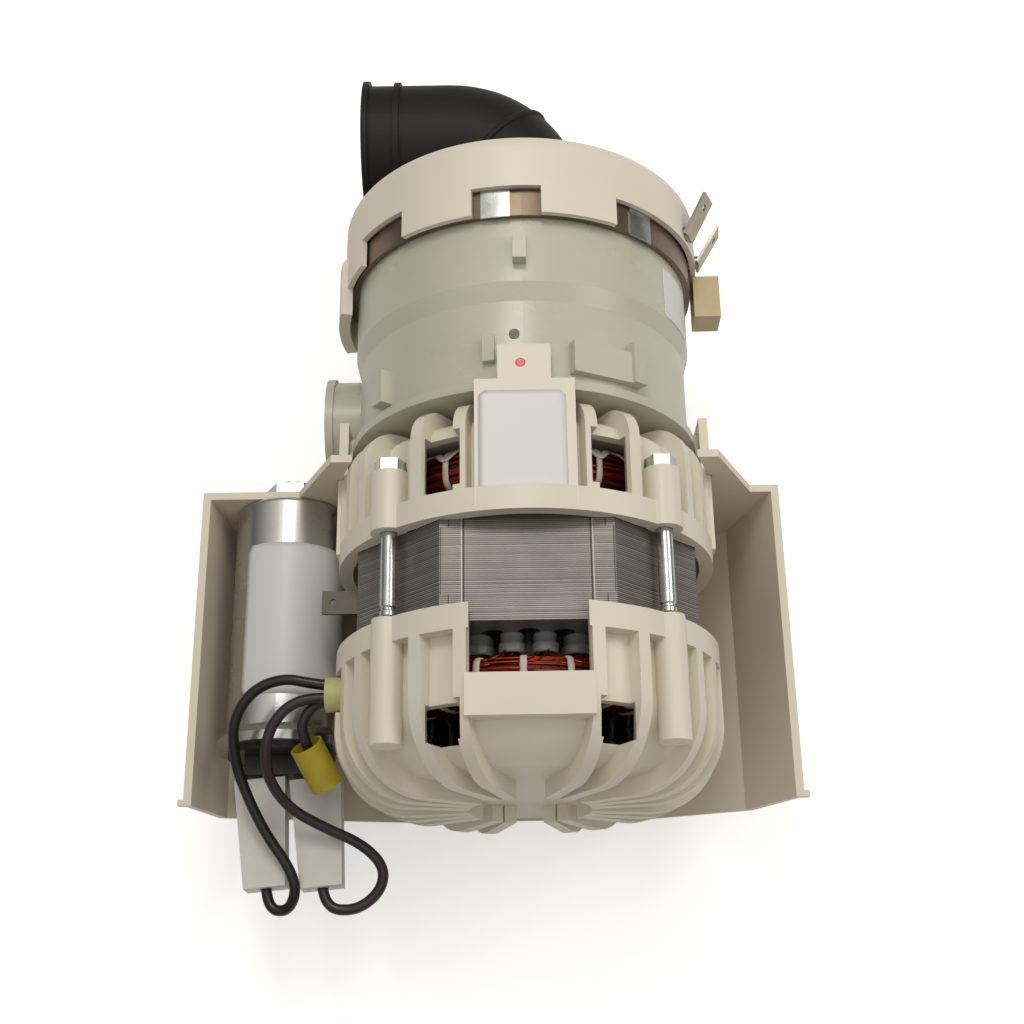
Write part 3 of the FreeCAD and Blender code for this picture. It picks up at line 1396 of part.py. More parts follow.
for build in (stator_core, windings, slot_liners, rotor):
    build()
bearing("rear", d.rear_bearing_start)
bearing("front", d.front_bearing_start)
for build in (rear_shield, front_shield, bearing_sleeves, through_bolts, pump_bowl, impeller,
              guide_plate, shaft_seal, inlet_cap, clamp, heater, sensor_connector, inlet_elbow,
              support_tray, capacitor, earth_tab, leads):
    build()
doc.recompute()

failures = []
for item in doc.Objects:
    if "Invalid" in item.State or "Error" in item.State:
        failures.append(item.Label)
for label, item in NODES.items():
    if item.Shape.isNull() or not item.Shape.isValid():
        failures.append(label)
if failures:
    raise RuntimeError("failed: %s" % ", ".join(failures))

os.makedirs("parts", exist_ok=True)
for label, item in NODES.items():
    item.Shape.exportStep("parts/%s.step" % label)
    solids = len(item.Shape.Solids)
    print("%-24s %3d solids %9.1f mm3" % (label, solids, item.Shape.Volume))
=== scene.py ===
"""Looks of a dishwasher circulation pump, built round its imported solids.

Everything is in metres in the frame of the solids: the motor axis runs along +Y, 54.1 mm above
the underside of the tray. Lengths below are in millimetres, times MM.
"""
import math

import bpy
import numpy as np
from mathutils import Matrix, Vector


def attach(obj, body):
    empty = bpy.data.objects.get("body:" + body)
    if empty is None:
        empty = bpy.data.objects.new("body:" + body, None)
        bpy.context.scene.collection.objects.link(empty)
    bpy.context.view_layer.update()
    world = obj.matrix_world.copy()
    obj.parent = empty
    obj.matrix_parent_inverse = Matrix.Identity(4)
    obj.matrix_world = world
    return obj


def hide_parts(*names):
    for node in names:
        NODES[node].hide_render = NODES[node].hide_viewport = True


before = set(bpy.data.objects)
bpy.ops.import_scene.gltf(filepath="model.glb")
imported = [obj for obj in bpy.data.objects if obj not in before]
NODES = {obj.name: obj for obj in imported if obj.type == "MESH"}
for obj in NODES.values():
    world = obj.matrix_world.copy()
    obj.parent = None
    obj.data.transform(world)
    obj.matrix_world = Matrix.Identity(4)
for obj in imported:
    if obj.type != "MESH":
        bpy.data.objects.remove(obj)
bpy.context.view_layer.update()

MM = 0.001
AXIS_HEIGHT = 54.1
STACK_LENGTH = 30.0
SLOT_COUNT = 24


# Camera: the photograph's own view, found from the round and square parts of the motor

CAMERA_ELEVATION = 67.8
CAMERA_ROLL = -0.866
CAMERA_TARGET = (-3.512, 44.544, AXIS_HEIGHT)
CAMERA_DISTANCE = 412.4
FOCAL_LENGTH_PIXELS = 1523.2
PHOTO_WIDTH = 1024.0
SENSOR_WIDTH = 36.0


def make_camera():
    """A pinhole at the given distance from the target, tilted down and rolled about its view."""
    tilt = math.radians(CAMERA_ELEVATION)
    forward = Vector((0, math.cos(tilt), -math.sin(tilt)))
    right = Vector((1, 0, 0))
    up = right.cross(forward)
    roll = math.radians(CAMERA_ROLL)
    side = right * math.cos(roll) + up * math.sin(roll)
    top = up * math.cos(roll) - right * math.sin(roll)
    data = bpy.data.cameras.new("camera")
    data.sensor_width = SENSOR_WIDTH
    data.lens = FOCAL_LENGTH_PIXELS * SENSOR_WIDTH / PHOTO_WIDTH
    data.clip_start, data.clip_end = 0.01, 20
    camera = bpy.data.objects.new("camera", data)
    turn = Matrix((side, top, -forward)).transposed().to_4x4()
    place = Vector(CAMERA_TARGET) * MM - forward * CAMERA_DISTANCE * MM
    camera.matrix_world = Matrix.Translation(place) @ turn
    bpy.context.scene.collection.objects.link(camera)
    bpy.context.scene.camera = camera


# Materials

def linear(code):
    """The linear colour of an sRGB hex value, with alpha 1."""
    values = np.array([int(code[i:i + 2], 16) for i in (1, 3, 5)]) / 255
    curve = np.where(values <= 0.04045, values / 12.92, ((values + 0.055) / 1.055) ** 2.4)
    return (*curve, 1.0)


def node(tree, kind, inputs=None, **settings):
    """Adds one shader node. An input is given a value or another node's socket."""
    made = tree.nodes.new("ShaderNode" + kind)
    for name, value in settings.items():
        setattr(made, name, value)
    for name, value in (inputs or {}).items():
        if isinstance(value, bpy.types.NodeSocket):
            tree.links.new(value, made.inputs[name])
        else:
            made.inputs[name].default_value = value
    return made


COLOUR_A, COLOUR_B, COLOUR_OUT = 6, 7, 2


def start_material(name):
    """A material with one principled shader, and the object's own coordinates for its patterns."""
    made = bpy.data.materials.new(name)
    made.use_nodes = True
    tree = made.node_tree
    tree.nodes.clear()
    out = node(tree, "OutputMaterial")
    shader = node(tree, "BsdfPrincipled")
    tree.links.new(shader.outputs[0], out.inputs[0])
    place = node(tree, "TexCoord").outputs["Object"]
    return made, tree, shader, place


def finish(name, light, dark, roughness, patch=25.0, grain=0.25, depth=0.02, stretch=(1, 1, 1),
           spread=0.12, **sockets):
    """A surface of two near colours in soft patches, with fine relief of the given grain.

    patch and grain are in millimetres, depth is the relief in millimetres, and stretch draws the
    grain out along an axis. roughness varies by spread with the patches.
    """
    made, tree, shader, place = start_material(name)
    patches = node(tree, "TexNoise", {"Vector": place, "Scale": 1 / (patch * MM), "Detail": 3.0})
    mixed = node(tree, "Mix", {0: patches.outputs[0], COLOUR_A: linear(dark),
                               COLOUR_B: linear(light)}, data_type="RGBA")
    rough = node(tree, "MapRange", {"Value": patches.outputs[0], "To Min": roughness - spread,
                                    "To Max": roughness + spread})
    drawn = node(tree, "Mapping", {"Vector": place, "Scale": stretch})
    fine = node(tree, "TexNoise", {"Vector": drawn.outputs[0], "Scale": 1 / (grain * MM),
                                   "Detail": 2.0})
    relief = node(tree, "Bump", {"Height": fine.outputs[0], "Distance": depth * MM,
                                 "Strength": 1.0})
    tree.links.new(mixed.outputs[COLOUR_OUT], shader.inputs["Base Color"])
    tree.links.new(rough.outputs[0], shader.inputs["Roughness"])
    tree.links.new(relief.outputs[0], shader.inputs["Normal"])
    for socket, value in sockets.items():
        shader.inputs[socket.replace("_", " ")].default_value = value
    return made


SHEET_THICKNESS = 0.5
SHEET_JOINT_START = 0.6
# The seam groove is not modelled: its shade is painted as a near-black line along each flat.
SEAM_SHADE_ACROSS, SEAM_SHADE_HALF_WIDTH = 15.2, 0.2
# The glint is a painted highlight: a light line beside the seam groove's painted shade.
GLINT_ACROSS, GLINT_HALF_WIDTH = 15.7, 0.14
CORNER_LINE_ACROSS, CORNER_LINE_STEP, CORNER_LINE_HALF_WIDTH = 18.8, 1.9, 0.12
CORNER_STEP_HALF_LENGTH = 8.5
MARK_STRENGTH = 0.75


def laminated_steel():
    """Punched electrical steel sheets, 0.5 mm thick, seen on their sheared edges: a stripe for
    each sheet, some brighter and some darker, with a dark joint between them. On each flat a
    seam groove runs along the stack, painted as a dark line of shade with a painted highlight
    beside it, and outside it the stepped line of the interlocked corner pieces."""
    made, tree, shader, place = start_material("electrical_steel_edges")
    parts = node(tree, "SeparateXYZ", {0: place})
    along = node(tree, "Math", {0: parts.outputs[1], 1: 1 / (SHEET_THICKNESS * MM)},
                 operation="MULTIPLY")
    index = node(tree, "Math", {0: along.outputs[0]}, operation="FLOOR")
    within = node(tree, "Math", {0: along.outputs[0]}, operation="FRACT")
    tone = node(tree, "TexWhiteNoise", {"W": index.outputs[0]}, noise_dimensions="1D")
    stain = node(tree, "TexNoise", {"Vector": place, "Scale": 1 / (9 * MM), "Detail": 4.0})
    grey = node(tree, "Mix", {0: tone.outputs[0], COLOUR_A: linear("#827d78"),
                              COLOUR_B: linear("#9f9b96")}, data_type="RGBA")
    joint = node(tree, "Math", {0: within.outputs[0], 1: SHEET_JOINT_START},
                 operation="GREATER_THAN")
    depth = node(tree, "Math", {0: tone.outputs[0], 1: 0.5, 2: 0.4}, operation="MULTIPLY_ADD")
    shade = node(tree, "Math", {0: joint.outputs[0], 1: depth.outputs[0]}, operation="MULTIPLY")
    lines = node(tree, "Mix", {0: shade.outputs[0], COLOUR_A: grey.outputs[COLOUR_OUT],
                               COLOUR_B: linear("#2b2622")}, data_type="RGBA")
    marks_and_painted_light = node(tree, "Mix", {0: 0.3, COLOUR_A: lines.outputs[COLOUR_OUT],
                               COLOUR_B: stain.outputs[0]}, data_type="RGBA",
                 blend_type="OVERLAY")
    across = node(tree, "Math", {0: parts.outputs[0]}, operation="ABSOLUTE")
    height = node(tree, "Math", {0: parts.outputs[2], 1: AXIS_HEIGHT * MM}, operation="SUBTRACT")
    height = node(tree, "Math", {0: height.outputs[0]}, operation="ABSOLUTE")
    aside = node(tree, "Math", {0: across.outputs[0], 1: height.outputs[0]}, operation="MINIMUM")
    centred = node(tree, "Math", {0: parts.outputs[1], 1: STACK_LENGTH / 2 * MM},
                   operation="SUBTRACT")
    centred = node(tree, "Math", {0: centred.outputs[0]}, operation="ABSOLUTE")
    inner = node(tree, "Math", {0: centred.outputs[0], 1: CORNER_STEP_HALF_LENGTH * MM},
                 operation="LESS_THAN")
    edge = node(tree, "Math", {0: inner.outputs[0], 1: CORNER_LINE_STEP * MM,
                               2: CORNER_LINE_ACROSS * MM}, operation="MULTIPLY_ADD")
    # Three lines on each flat: the seam groove's painted shade, a painted highlight beside it, and
    # the stepped line of the corner pieces.
    for across_mark, half_width, colour in (
            (SEAM_SHADE_ACROSS * MM, SEAM_SHADE_HALF_WIDTH, "#1d1a18"),
            (GLINT_ACROSS * MM, GLINT_HALF_WIDTH, "#b9b5ae"),
            (edge.outputs[0], CORNER_LINE_HALF_WIDTH, "#2b2622")):
        gap = node(tree, "Math", {0: aside.outputs[0], 1: across_mark}, operation="SUBTRACT")
        gap = node(tree, "Math", {0: gap.outputs[0]}, operation="ABSOLUTE")
        near = node(tree, "Math", {0: gap.outputs[0], 1: half_width * MM},
                    operation="LESS_THAN")
        near = node(tree, "Math", {0: near.outputs[0], 1: MARK_STRENGTH}, operation="MULTIPLY")
        marks_and_painted_light = node(tree, "Mix", {0: near.outputs[0], COLOUR_A: marks_and_painted_light.outputs[COLOUR_OUT],
                                   COLOUR_B: linear(colour)}, data_type="RGBA")
    relief = node(tree, "Bump", {"Height": joint.outputs[0], "Distance": 0.06 * MM,
                                 "Strength": 0.8}, invert=True)
    tree.links.new(marks_and_painted_light.outputs[COLOUR_OUT], shader.inputs["Base Color"])
    tree.links.new(relief.outputs[0], shader.inputs["Normal"])
    shader.inputs["Metallic"].default_value = 0.75
    shader.inputs["Roughness"].default_value = 0.48
    return made


CREAM = finish("moulded_pbt_cream", "#e3ddcc", "#d8d1bf", 0.42, patch=40, grain=0.5, depth=0.006,
               Subsurface_Weight=0.06, Subsurface_Radius=(0.002, 0.0016, 0.001))
TRAY_CREAM = finish("moulded_polypropylene_cream", "#e1d8c6", "#d5cbb7", 0.45, patch=60, grain=0.6,
                    depth=0.008)
CAP_CREAM = finish("moulded_polypropylene_cap", "#e6dfd0", "#dcd4c3", 0.40, patch=35, grain=0.5,
                   depth=0.006)
MILKY = finish("translucent_polypropylene", "#dcdac8", "#d0cebb", 0.30, patch=30, grain=2.5,
               depth=0.03, Transmission_Weight=0.22, IOR=1.49, Subsurface_Weight=0.35,
               Subsurface_Radius=(0.006, 0.006, 0.005))
RUBBER = finish("epdm_rubber", "#1b1a18", "#131211", 0.56, patch=14, grain=0.4, depth=0.01,
                spread=0.08, Specular_IOR_Level=0.28)
ZINC = finish("bright_zinc_steel", "#c9ccc9", "#a9aeac", 0.26, patch=4, grain=0.4, depth=0.004,
              stretch=(1, 0.1, 1), Metallic=1.0)
BAND = finish("stainless_band", "#8d7c6b", "#695b4d", 0.34, patch=6, grain=0.3, depth=0.006,
              Metallic=0.9)
CAN = finish("drawn_aluminium_can", "#d2d2cf", "#c0c0bd", 0.27, patch=12, grain=0.3, depth=0.004,
             stretch=(1, 0.03, 1), spread=0.06, Metallic=1.0)
# The earth tab is the tinned brass painted much darker: painted shade that stands in for its dim
# reflection.
TAB = finish("tinned_brass_tab_painted_dark", "#6b655a", "#4a453c", 0.5, patch=4, grain=0.3, depth=0.01,
             Metallic=0.8)
TINNED = finish("tinned_brass", "#b9b3a4", "#9c9484", 0.32, patch=5, grain=0.3, depth=0.005,
                Metallic=0.95)
SHAFT = finish("ground_steel", "#b8b7b4", "#a09f9c", 0.25, patch=9, grain=0.2, depth=0.002,
               stretch=(0.1, 1, 0.1), Metallic=1.0)
BLACK_BASE = finish("black_phenolic", "#26241f", "#171613", 0.4, patch=8, grain=0.3, depth=0.01)
BOOT = finish("soft_pvc_translucent", "#eeebe4", "#dedad2", 0.36, patch=9, grain=1.6, depth=0.05,
              Transmission_Weight=0.2, IOR=1.52, Subsurface_Weight=0.3,
              Subsurface_Radius=(0.003, 0.003, 0.003))
YELLOW = finish("varnished_glass_sleeving", "#c8b83a", "#a8971f", 0.4, patch=5, grain=0.6,
                depth=0.05, Transmission_Weight=0.15)
PALE_YELLOW = finish("pale_glass_sleeving", "#d3cf92", "#beb873", 0.45, patch=3, grain=0.5,
                     depth=0.08, Transmission_Weight=0.1)
BLACK_PVC = finish("black_pvc_insulation", "#1c1a1a", "#100f10", 0.32, patch=6, grain=0.4,
                   depth=0.004, spread=0.06)
PURPLE_PVC = finish("purple_pvc_insulation", "#36252f", "#241820", 0.32, patch=6, grain=0.4,
                    depth=0.004, spread=0.06)
CONNECTOR = finish("moulded_nylon_ivory", "#cdb994", "#bba57d", 0.42, patch=10, grain=0.4,
                   depth=0.006)
IMPELLER = finish("moulded_white_plastic", "#dddcd6", "#d0cfc8", 0.35, patch=20, grain=0.5,
                  depth=0.005)
CERAMIC = finish("alumina_ceramic", "#ece8df", "#e0dbd0", 0.2, patch=10, grain=0.3, depth=0.002)
CARBON = finish("seal_carbon", "#2a2a2b", "#1c1c1d", 0.3, patch=4, grain=0.2, depth=0.004)
CAST = finish("cast_aluminium", "#b4b4b2", "#9a9a98", 0.45, patch=4, grain=0.5, depth=0.03,
              Metallic=1.0)
COPPER = finish("enamelled_copper_wire", "#b8482a", "#742410", 0.34, patch=1.2, grain=0.3,
                depth=0.004, spread=0.08, Metallic=0.85, Coat_Weight=0.1)
# The inner turns are the same enamelled copper as the strands, painted much darker as the shade
# beneath them.
COPPER_CORE_SHADED = finish("enamelled_copper_turns_painted_shade", "#5c2014", "#3a120b", 0.4, patch=3, grain=0.5,
                     depth=0.1, Metallic=0.5)
LACING = finish("polyester_lacing_cord", "#dcd2c8", "#b9ada2", 0.6, patch=1.5, grain=0.35,
                depth=0.12, spread=0.05)
SLOT_FILM = finish("polyester_slot_film", "#9da0a2", "#7f8386", 0.22, patch=4, grain=1.2,
                   depth=0.05, spread=0.06, Transmission_Weight=0.15)
LABEL = finish("blank_paper_label", "#dbdad8", "#d3d1cf", 0.38, patch=12, grain=0.4, depth=0.003,
               spread=0.05)
RED_PAINT = finish("red_paint_dab", "#e5391f", "#c62a14", 0.3, patch=0.8, grain=0.4, depth=0.02)
BROWN_PAINT = finish("brown_paint_dab", "#5b4338", "#3d2b24", 0.35, patch=0.8, grain=0.4,
                     depth=0.02)
LAMINATED = laminated_steel()

NODE_FINISHES = {
    "stator_core": LAMINATED, "rotor_core": LAMINATED, "rotor_end_rings": CAST,
    "motor_shaft": SHAFT, "rear_bearing_inner": SHAFT, "rear_bearing_outer": SHAFT,
    "front_bearing_inner": SHAFT, "front_bearing_outer": SHAFT, "rear_bearing_balls": SHAFT,
    "front_bearing_balls": SHAFT, "rear_end_shield": CREAM, "front_end_shield": CREAM,
    "rear_bearing_sleeve": RUBBER, "front_bearing_sleeve": RUBBER, "through_bolts": ZINC,
    "capacitor_washer": ZINC, "capacitor_nut": ZINC, "clamp_sleeves": ZINC, "pump_bowl": MILKY,
    "impeller": IMPELLER, "guide_plate": IMPELLER, "seal_seat": CERAMIC, "seal_ring": CARBON,
    "seal_bellows": RUBBER, "housing_gasket": RUBBER, "inlet_cap": CAP_CREAM, "clamp_band": BAND,
    "heater_ring": TINNED, "heater_terminals": TINNED, "capacitor_terminals": TINNED,
    "push_on_sockets": TINNED, "connector_pins": TINNED, "earth_tab": TAB,
    "sensor_connector": CONNECTOR, "inlet_elbow": RUBBER, "support_tray": TRAY_CREAM,
    "capacitor_can": CAN, "capacitor_base": BLACK_BASE, "terminal_boot_left": BOOT,
    "terminal_boot_right": BOOT, "lead_sleeve_small": PALE_YELLOW, "lead_sleeve_large": YELLOW,
    "stator_winding": COPPER, "slot_liners": SLOT_FILM, "black_wire": BLACK_PVC,
    "purple_wire": PURPLE_PVC, "purple_wire_short": PURPLE_PVC,
}


def dress_nodes():
    """Gives each solid of the frame the one material of its table entry."""
    for name, surface in NODE_FINISHES.items():
        mesh = NODES[name].data
        mesh.materials.clear()
        mesh.materials.append(surface)


# Free leads: the routes of the solids, in millimetres from the motor axis

BLACK_ROUTE = [
    (-45.0, -6.6, 9.9), (-54.0, -5.8, 10.4), (-61.7, -3.9, 10.4), (-69.8, -6.6, 9.0),
    (-74.9, -13.6, 6.2), (-75.0, -22.5, 0.6), (-71.8, -31.5, -4.6), (-67.2, -40.2, -8.2),
    (-61.6, -47.6, -10.4), (-59.6, -53.4, -12.4), (-62.2, -58.2, -16.0),
    (-67.68, -57.2, -16.6), (-68.245, -50.75, -16.6),
]
PURPLE_ROUTE = [
    (-45.0, -9.7, 9.9), (-54.3, -8.6, 9.6), (-61.4, -11.4, 9.6), (-65.9, -18.0, 8.0),
    (-66.6, -26.6, 3.0), (-61.8, -33.8, -3.4), (-52.6, -38.4, -8.0), (-43.2, -42.0, -11.0),
    (-37.4, -47.6, -13.6), (-38.6, -53.6, -15.6), (-45.0, -58.2, -16.4),
    (-53.18, -57.2, -16.6), (-53.745, -50.75, -16.6),
]
SHORT_ROUTE = [
    (-45.0, -8.2, 7.1), (-53.2, -8.8, 6.9), (-57.8, -14.0, 5.8), (-56.9, -19.0, 2.7),
    (-52.4, -26.96, -3.15),
]
LEAD_DIAMETER = 2.8


def make_lead(name, route, surface):
    """A round insulated wire on a smooth NURBS line through its route."""
    points = [(x * MM, y * MM, (z + AXIS_HEIGHT) * MM) for x, y, z in route]
    data = bpy.data.curves.new(name, "CURVE")
    data.dimensions = "3D"
    spline = data.splines.new("NURBS")
    spline.points.add(len(points) - 1)
    for point, place in zip(spline.points, points):
        point.co = (*place, 1)
    spline.order_u = 3
    spline.use_endpoint_u = True
    spline.resolution_u = 10
    data.bevel_depth = LEAD_DIAMETER / 2 * MM
    data.bevel_resolution = 4
    data.use_fill_caps = True
    data.materials.append(surface)
    lead = bpy.data.objects.new(name + "_lead", data)
    bpy.context.scene.collection.objects.link(lead)
    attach(lead, "housing")
    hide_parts(name)


# Surfaces

def power(values, exponent):
    """Keeps the sign and raises the size to the exponent, which squares off a circle."""
    return np.sign(values) * np.abs(values) ** exponent


def step(values):
    """0 below 0, 1 above 1, and between them three squares less two cubes."""
    values = np.clip(values, 0, 1)
    return values * values * (3 - 2 * values)


def about_axis(radius, along, angle):
    """Points at a radius from the motor axis and a distance along it, turned from the top."""
    return np.stack([radius * np.sin(angle), along + 0 * angle,
                     AXIS_HEIGHT + radius * np.cos(angle)], axis=-1)


def grid_faces(rows, columns, closed_rows=False):
    """Quads of a grid of points whose columns run round and whose rows may close as well."""
    i, j = np.meshgrid(np.arange(rows if closed_rows else rows - 1), np.arange(columns),
                       indexing="ij")
    ahead, beside = (i + 1) % rows, (j + 1) % columns
    return np.stack([i * columns + j, i * columns + beside, ahead * columns + beside,
                     ahead * columns + j], axis=-1).reshape(-1, 4)


def sweep(path, section, outward, closed=False):
    """A section carried along a path. Each ring is the path's point, plus the section's first
    number along the side and its second along the outward direction made square to the path."""
    if closed:
        tangent = np.roll(path, -1, axis=0) - np.roll(path, 1, axis=0)
    else:
        tangent = np.gradient(path, axis=0)
    tangent /= np.linalg.norm(tangent, axis=1)[:, None]
    side = np.cross(tangent, outward)
    side /= np.linalg.norm(side, axis=1)[:, None]
    lift = np.cross(side, tangent)
    rings = (path[:, None] + section[None, :, :1] * side[:, None]
             + section[None, :, 1:] * lift[:, None])
    return rings.reshape(-1, 3), grid_faces(len(path), len(section), closed)


def make_piece(name, parts, surface, body="housing", stands_for=None):
    """One object out of many grids of points in millimetres."""
    points, faces, first = [], [], 0
    for some_points, some_faces in parts:
        points.append(some_points)
        faces.append(some_faces + first)
        first += len(some_points)
    points = np.concatenate(points) * MM
    faces = np.concatenate(faces)
    mesh = bpy.data.meshes.new(name)
    mesh.from_pydata(points.tolist(), [], faces.tolist())
    mesh.shade_smooth()
    mesh.materials.append(surface)
    piece = bpy.data.objects.new(name, mesh)
    bpy.context.scene.collection.objects.link(piece)
    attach(piece, body)
    if stands_for:
        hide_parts(stands_for)
    return piece


def circle(count, across, high=None):
    """A section of so many points round an ellipse: cosine across and sine high."""
    turn = np.linspace(0, 2 * np.pi, count, endpoint=False)
    return np.stack([across * np.cos(turn), (high or across) * np.sin(turn)], axis=-1)


# Winding: coil heads of enamelled wire, their lacing and the slot ends

HEAD_RADIUS, HEAD_HALF_WIDTH = 34.2, 5.3
HEAD_ALONG, HEAD_HALF_LENGTH = 12.4, 5.0
STRANDS, STRAND_RADIUS, STRAND_POINTS = 260, 0.3, 44
STRAND_START = 3.0
CORE_SCALE = 0.9
LOOP_SCALE, RUNNING_SCALE = 1.07, 1.1
LACING_HALF_WIDTH, LACING_HALF_HEIGHT = 0.9, 0.3
CUFF_PHASE = 0.5


def head_section(turn, scale=1.0):
    """Radius and reach of the coil head at a turn about its middle: a circle squared off by
    the power 0.6 and stretched to the head's half width and half length."""
    radius = HEAD_RADIUS + scale * HEAD_HALF_WIDTH * power(np.cos(turn), 0.6)
    reach = HEAD_ALONG + scale * HEAD_HALF_LENGTH * power(np.sin(turn), 0.6)
    return radius, reach


def strands_of_head(base, way, seed):
    """Each strand leaves a slot along the axis, bends over in a smooth step, runs round the axis
    at its own place on the head's section with a slow wave, and dips into a far slot."""
    random = np.random.default_rng(seed)
    parts = []
    s = np.linspace(0, 1, STRAND_POINTS)
    lift = step(s / 0.15) * step((1 - s) / 0.15)
    for index in range(STRANDS):
        begin = index % SLOT_COUNT + CUFF_PHASE + random.uniform(-0.2, 0.2)
        begin *= 2 * np.pi / SLOT_COUNT
        span = random.integers(6, 12) * 2 * np.pi / SLOT_COUNT
        place = random.uniform(0, 2 * np.pi)
        wave = 0.35 * np.sin(2 * np.pi * (random.uniform(1, 3) * s + random.uniform()))
        radius, reach = head_section(place + 0.5 * (s - 0.5), random.uniform(0.9, 1.02))
        foot = random.uniform(28, 32)
        radius = foot + (radius + wave - foot) * lift
        along = base + way * (STRAND_START + (reach + wave * 0.6 - STRAND_START) * lift)
        angle = begin + span * step(s)
        path = about_axis(radius, along, angle)
        outward = about_axis(np.ones_like(s), 0, angle) - (0, 0, AXIS_HEIGHT) + (0, 0.3 * way, 0)
        parts.append(sweep(path, circle(5, STRAND_RADIUS), outward))
    return parts


def core_of_head(base, way):
    """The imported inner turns: the head's section, a tenth smaller, swept round the axis."""
    turn = np.linspace(0, 2 * np.pi, 28, endpoint=False)
    radius, reach = head_section(turn, CORE_SCALE)
    angle = np.linspace(0, 2 * np.pi, 96, endpoint=False)[:, None]
    points = about_axis(radius + 0 * angle, base + way * reach, angle + 0 * radius)
    return [(points.reshape(-1, 3), grid_faces(len(angle), len(turn), True))]


def lacing_of_head(base, way, knots, phase):
    """Flat cord: a loop round the head at each knot, and a running cord that swings between the
    knots on the outside and the crown, as a cosine of the turn along the head's section."""
    flat = circle(8, LACING_HALF_WIDTH, LACING_HALF_HEIGHT)
    parts = []
    turn = np.linspace(0, 2 * np.pi, 40, endpoint=False)
    for index in range(knots):
        angle = np.radians(phase) + index * 2 * np.pi / knots + 0 * turn
        radius, reach = head_section(turn, LOOP_SCALE)
        path = about_axis(radius, base + way * reach, angle)
        middle = about_axis(HEAD_RADIUS + 0 * turn, base + way * HEAD_ALONG, angle)
        parts.append(sweep(path, flat, path - middle, closed=True))
    s = np.linspace(0, 1, knots * 14, endpoint=False)
    swing = 0.5 - 0.5 * np.cos(2 * np.pi * knots * s)
    radius, reach = head_section(np.radians(14 + 52 * swing), RUNNING_SCALE)
    angle = np.radians(phase) + 2 * np.pi * s
    path = about_axis(radius, base + way * reach, angle)
    middle = about_axis(HEAD_RADIUS + 0 * s, base + way * HEAD_ALONG, angle)
    parts.append(sweep(path, flat, path - middle, closed=True))
    return parts


# Each layer of a slot end: how far it grows from the half width and height, and its reach
CAP_RADIUS, CAP_HALF_HEIGHT, CAP_HALF_WIDTH = 29.5, 4.5, 3.25
CAP_LAYERS = [(-0.4, 0.05), (-0.45, 2.3), (-0.1, 2.5), (0, 2.9), (0, 4.3), (-0.15, 4.8),
              (-0.5, 5.0), (-0.8, 4.8), (-0.9, 3.4), (-0.9, 0.3)]


def slot_ends(base, way):
    """A stiff film sleeve round the wires of each slot, with a folded cuff at its end: a squared
    circle, wider at the back, drawn out from the stack, turned in at the lip and back inside."""
    turn = np.linspace(0, 2 * np.pi, 30, endpoint=False)
    parts = []
    for index in range(SLOT_COUNT):
        angle = (index + CUFF_PHASE) * 2 * np.pi / SLOT_COUNT
        rings = []
        for grow, reach in CAP_LAYERS:
            across = (CAP_HALF_WIDTH + grow) * power(np.cos(turn), 0.8)
            across *= 1 + 0.13 * np.sin(turn)
            high = CAP_RADIUS + (CAP_HALF_HEIGHT + grow) * power(np.sin(turn), 0.8)
            x = across * np.cos(angle) + high * np.sin(angle)
            z = high * np.cos(angle) - across * np.sin(angle)
            rings.append(np.stack([x, base + way * reach + 0 * x, AXIS_HEIGHT + z], axis=-1))
        parts.append((np.concatenate(rings), grid_faces(len(CAP_LAYERS), len(turn))))
    return parts


def make_windings():
    """Both coil heads. A side has its base, its way along the axis, its count of knots, which
    also seeds its strands, and the turn of its first knot in degrees."""
    sides = [("rear", 0.0, -1.0, 22, -2.0), ("front", STACK_LENGTH, 1.0, 25, -1.25)]
    for name, base, way, knots, phase in sides:
        make_piece("coil_strands_" + name, strands_of_head(base, way, knots), COPPER,
                   stands_for="stator_winding")
        make_piece("coil_core_" + name, core_of_head(base, way), COPPER_CORE_SHADED,
                   stands_for="stator_winding")
        make_piece("lacing_" + name, lacing_of_head(base, way, knots, phase), LACING,
                   stands_for="stator_winding")
        make_piece("slot_ends_" + name, slot_ends(base, way), SLOT_FILM,
                   stands_for="slot_liners")


# Bare labels and two dabs of paint

def sheet_of(width, length, corner, rows=24, columns=16):
    """Points (u, v) of a rectangle with round corners. At each row the half width is the full one
    less the corner, plus the root of the corner squared less the depth into it squared."""
    v = np.linspace(-length / 2, length / 2, rows)
    depth = np.clip(np.abs(v) - (length / 2 - corner), 0, corner)
    half = width / 2 - corner + np.sqrt(np.maximum(corner ** 2 - depth ** 2, 1e-4))
    u = half[:, None] * np.linspace(-1, 1, columns)[None, :]
    i, j = np.meshgrid(np.arange(rows - 1), np.arange(columns - 1), indexing="ij")
    faces = np.stack([i * columns + j, i * columns + j + 1, (i + 1) * columns + j + 1,
                      (i + 1) * columns + j], axis=-1).reshape(-1, 4)
    return u, v[:, None] + 0 * u, faces


def stick(name, points, faces, surface, thickness=0.1):
    """A sheet whose outer face runs through the points, thickened towards the solid below."""
    piece = make_piece(name, [(points.reshape(-1, 3), faces)], surface)
    solid = piece.modifiers.new("thickness", "SOLIDIFY")
    solid.thickness = thickness * MM
    solid.offset = -1


def round_label(name, centre, radius, middle, width, along, length, corner, surface):
    """A label bent on a cylinder: its width is laid off as an angle round the centre."""
    u, v, faces = sheet_of(width, length, corner, columns=28)
    angle = np.radians(middle) + u / radius
    points = np.stack([centre[0] + radius * np.sin(angle), along + v,
                       AXIS_HEIGHT + centre[1] + radius * np.cos(angle)], axis=-1)
    stick(name, points, faces, surface)


CAN_CENTRE = (-65.5, -16.6)
LABEL_CORNER = 1.2
PLATE_HEIGHT = 48.12
DAB_HEIGHT, DAB_THICKNESS = 48.08, 0.07


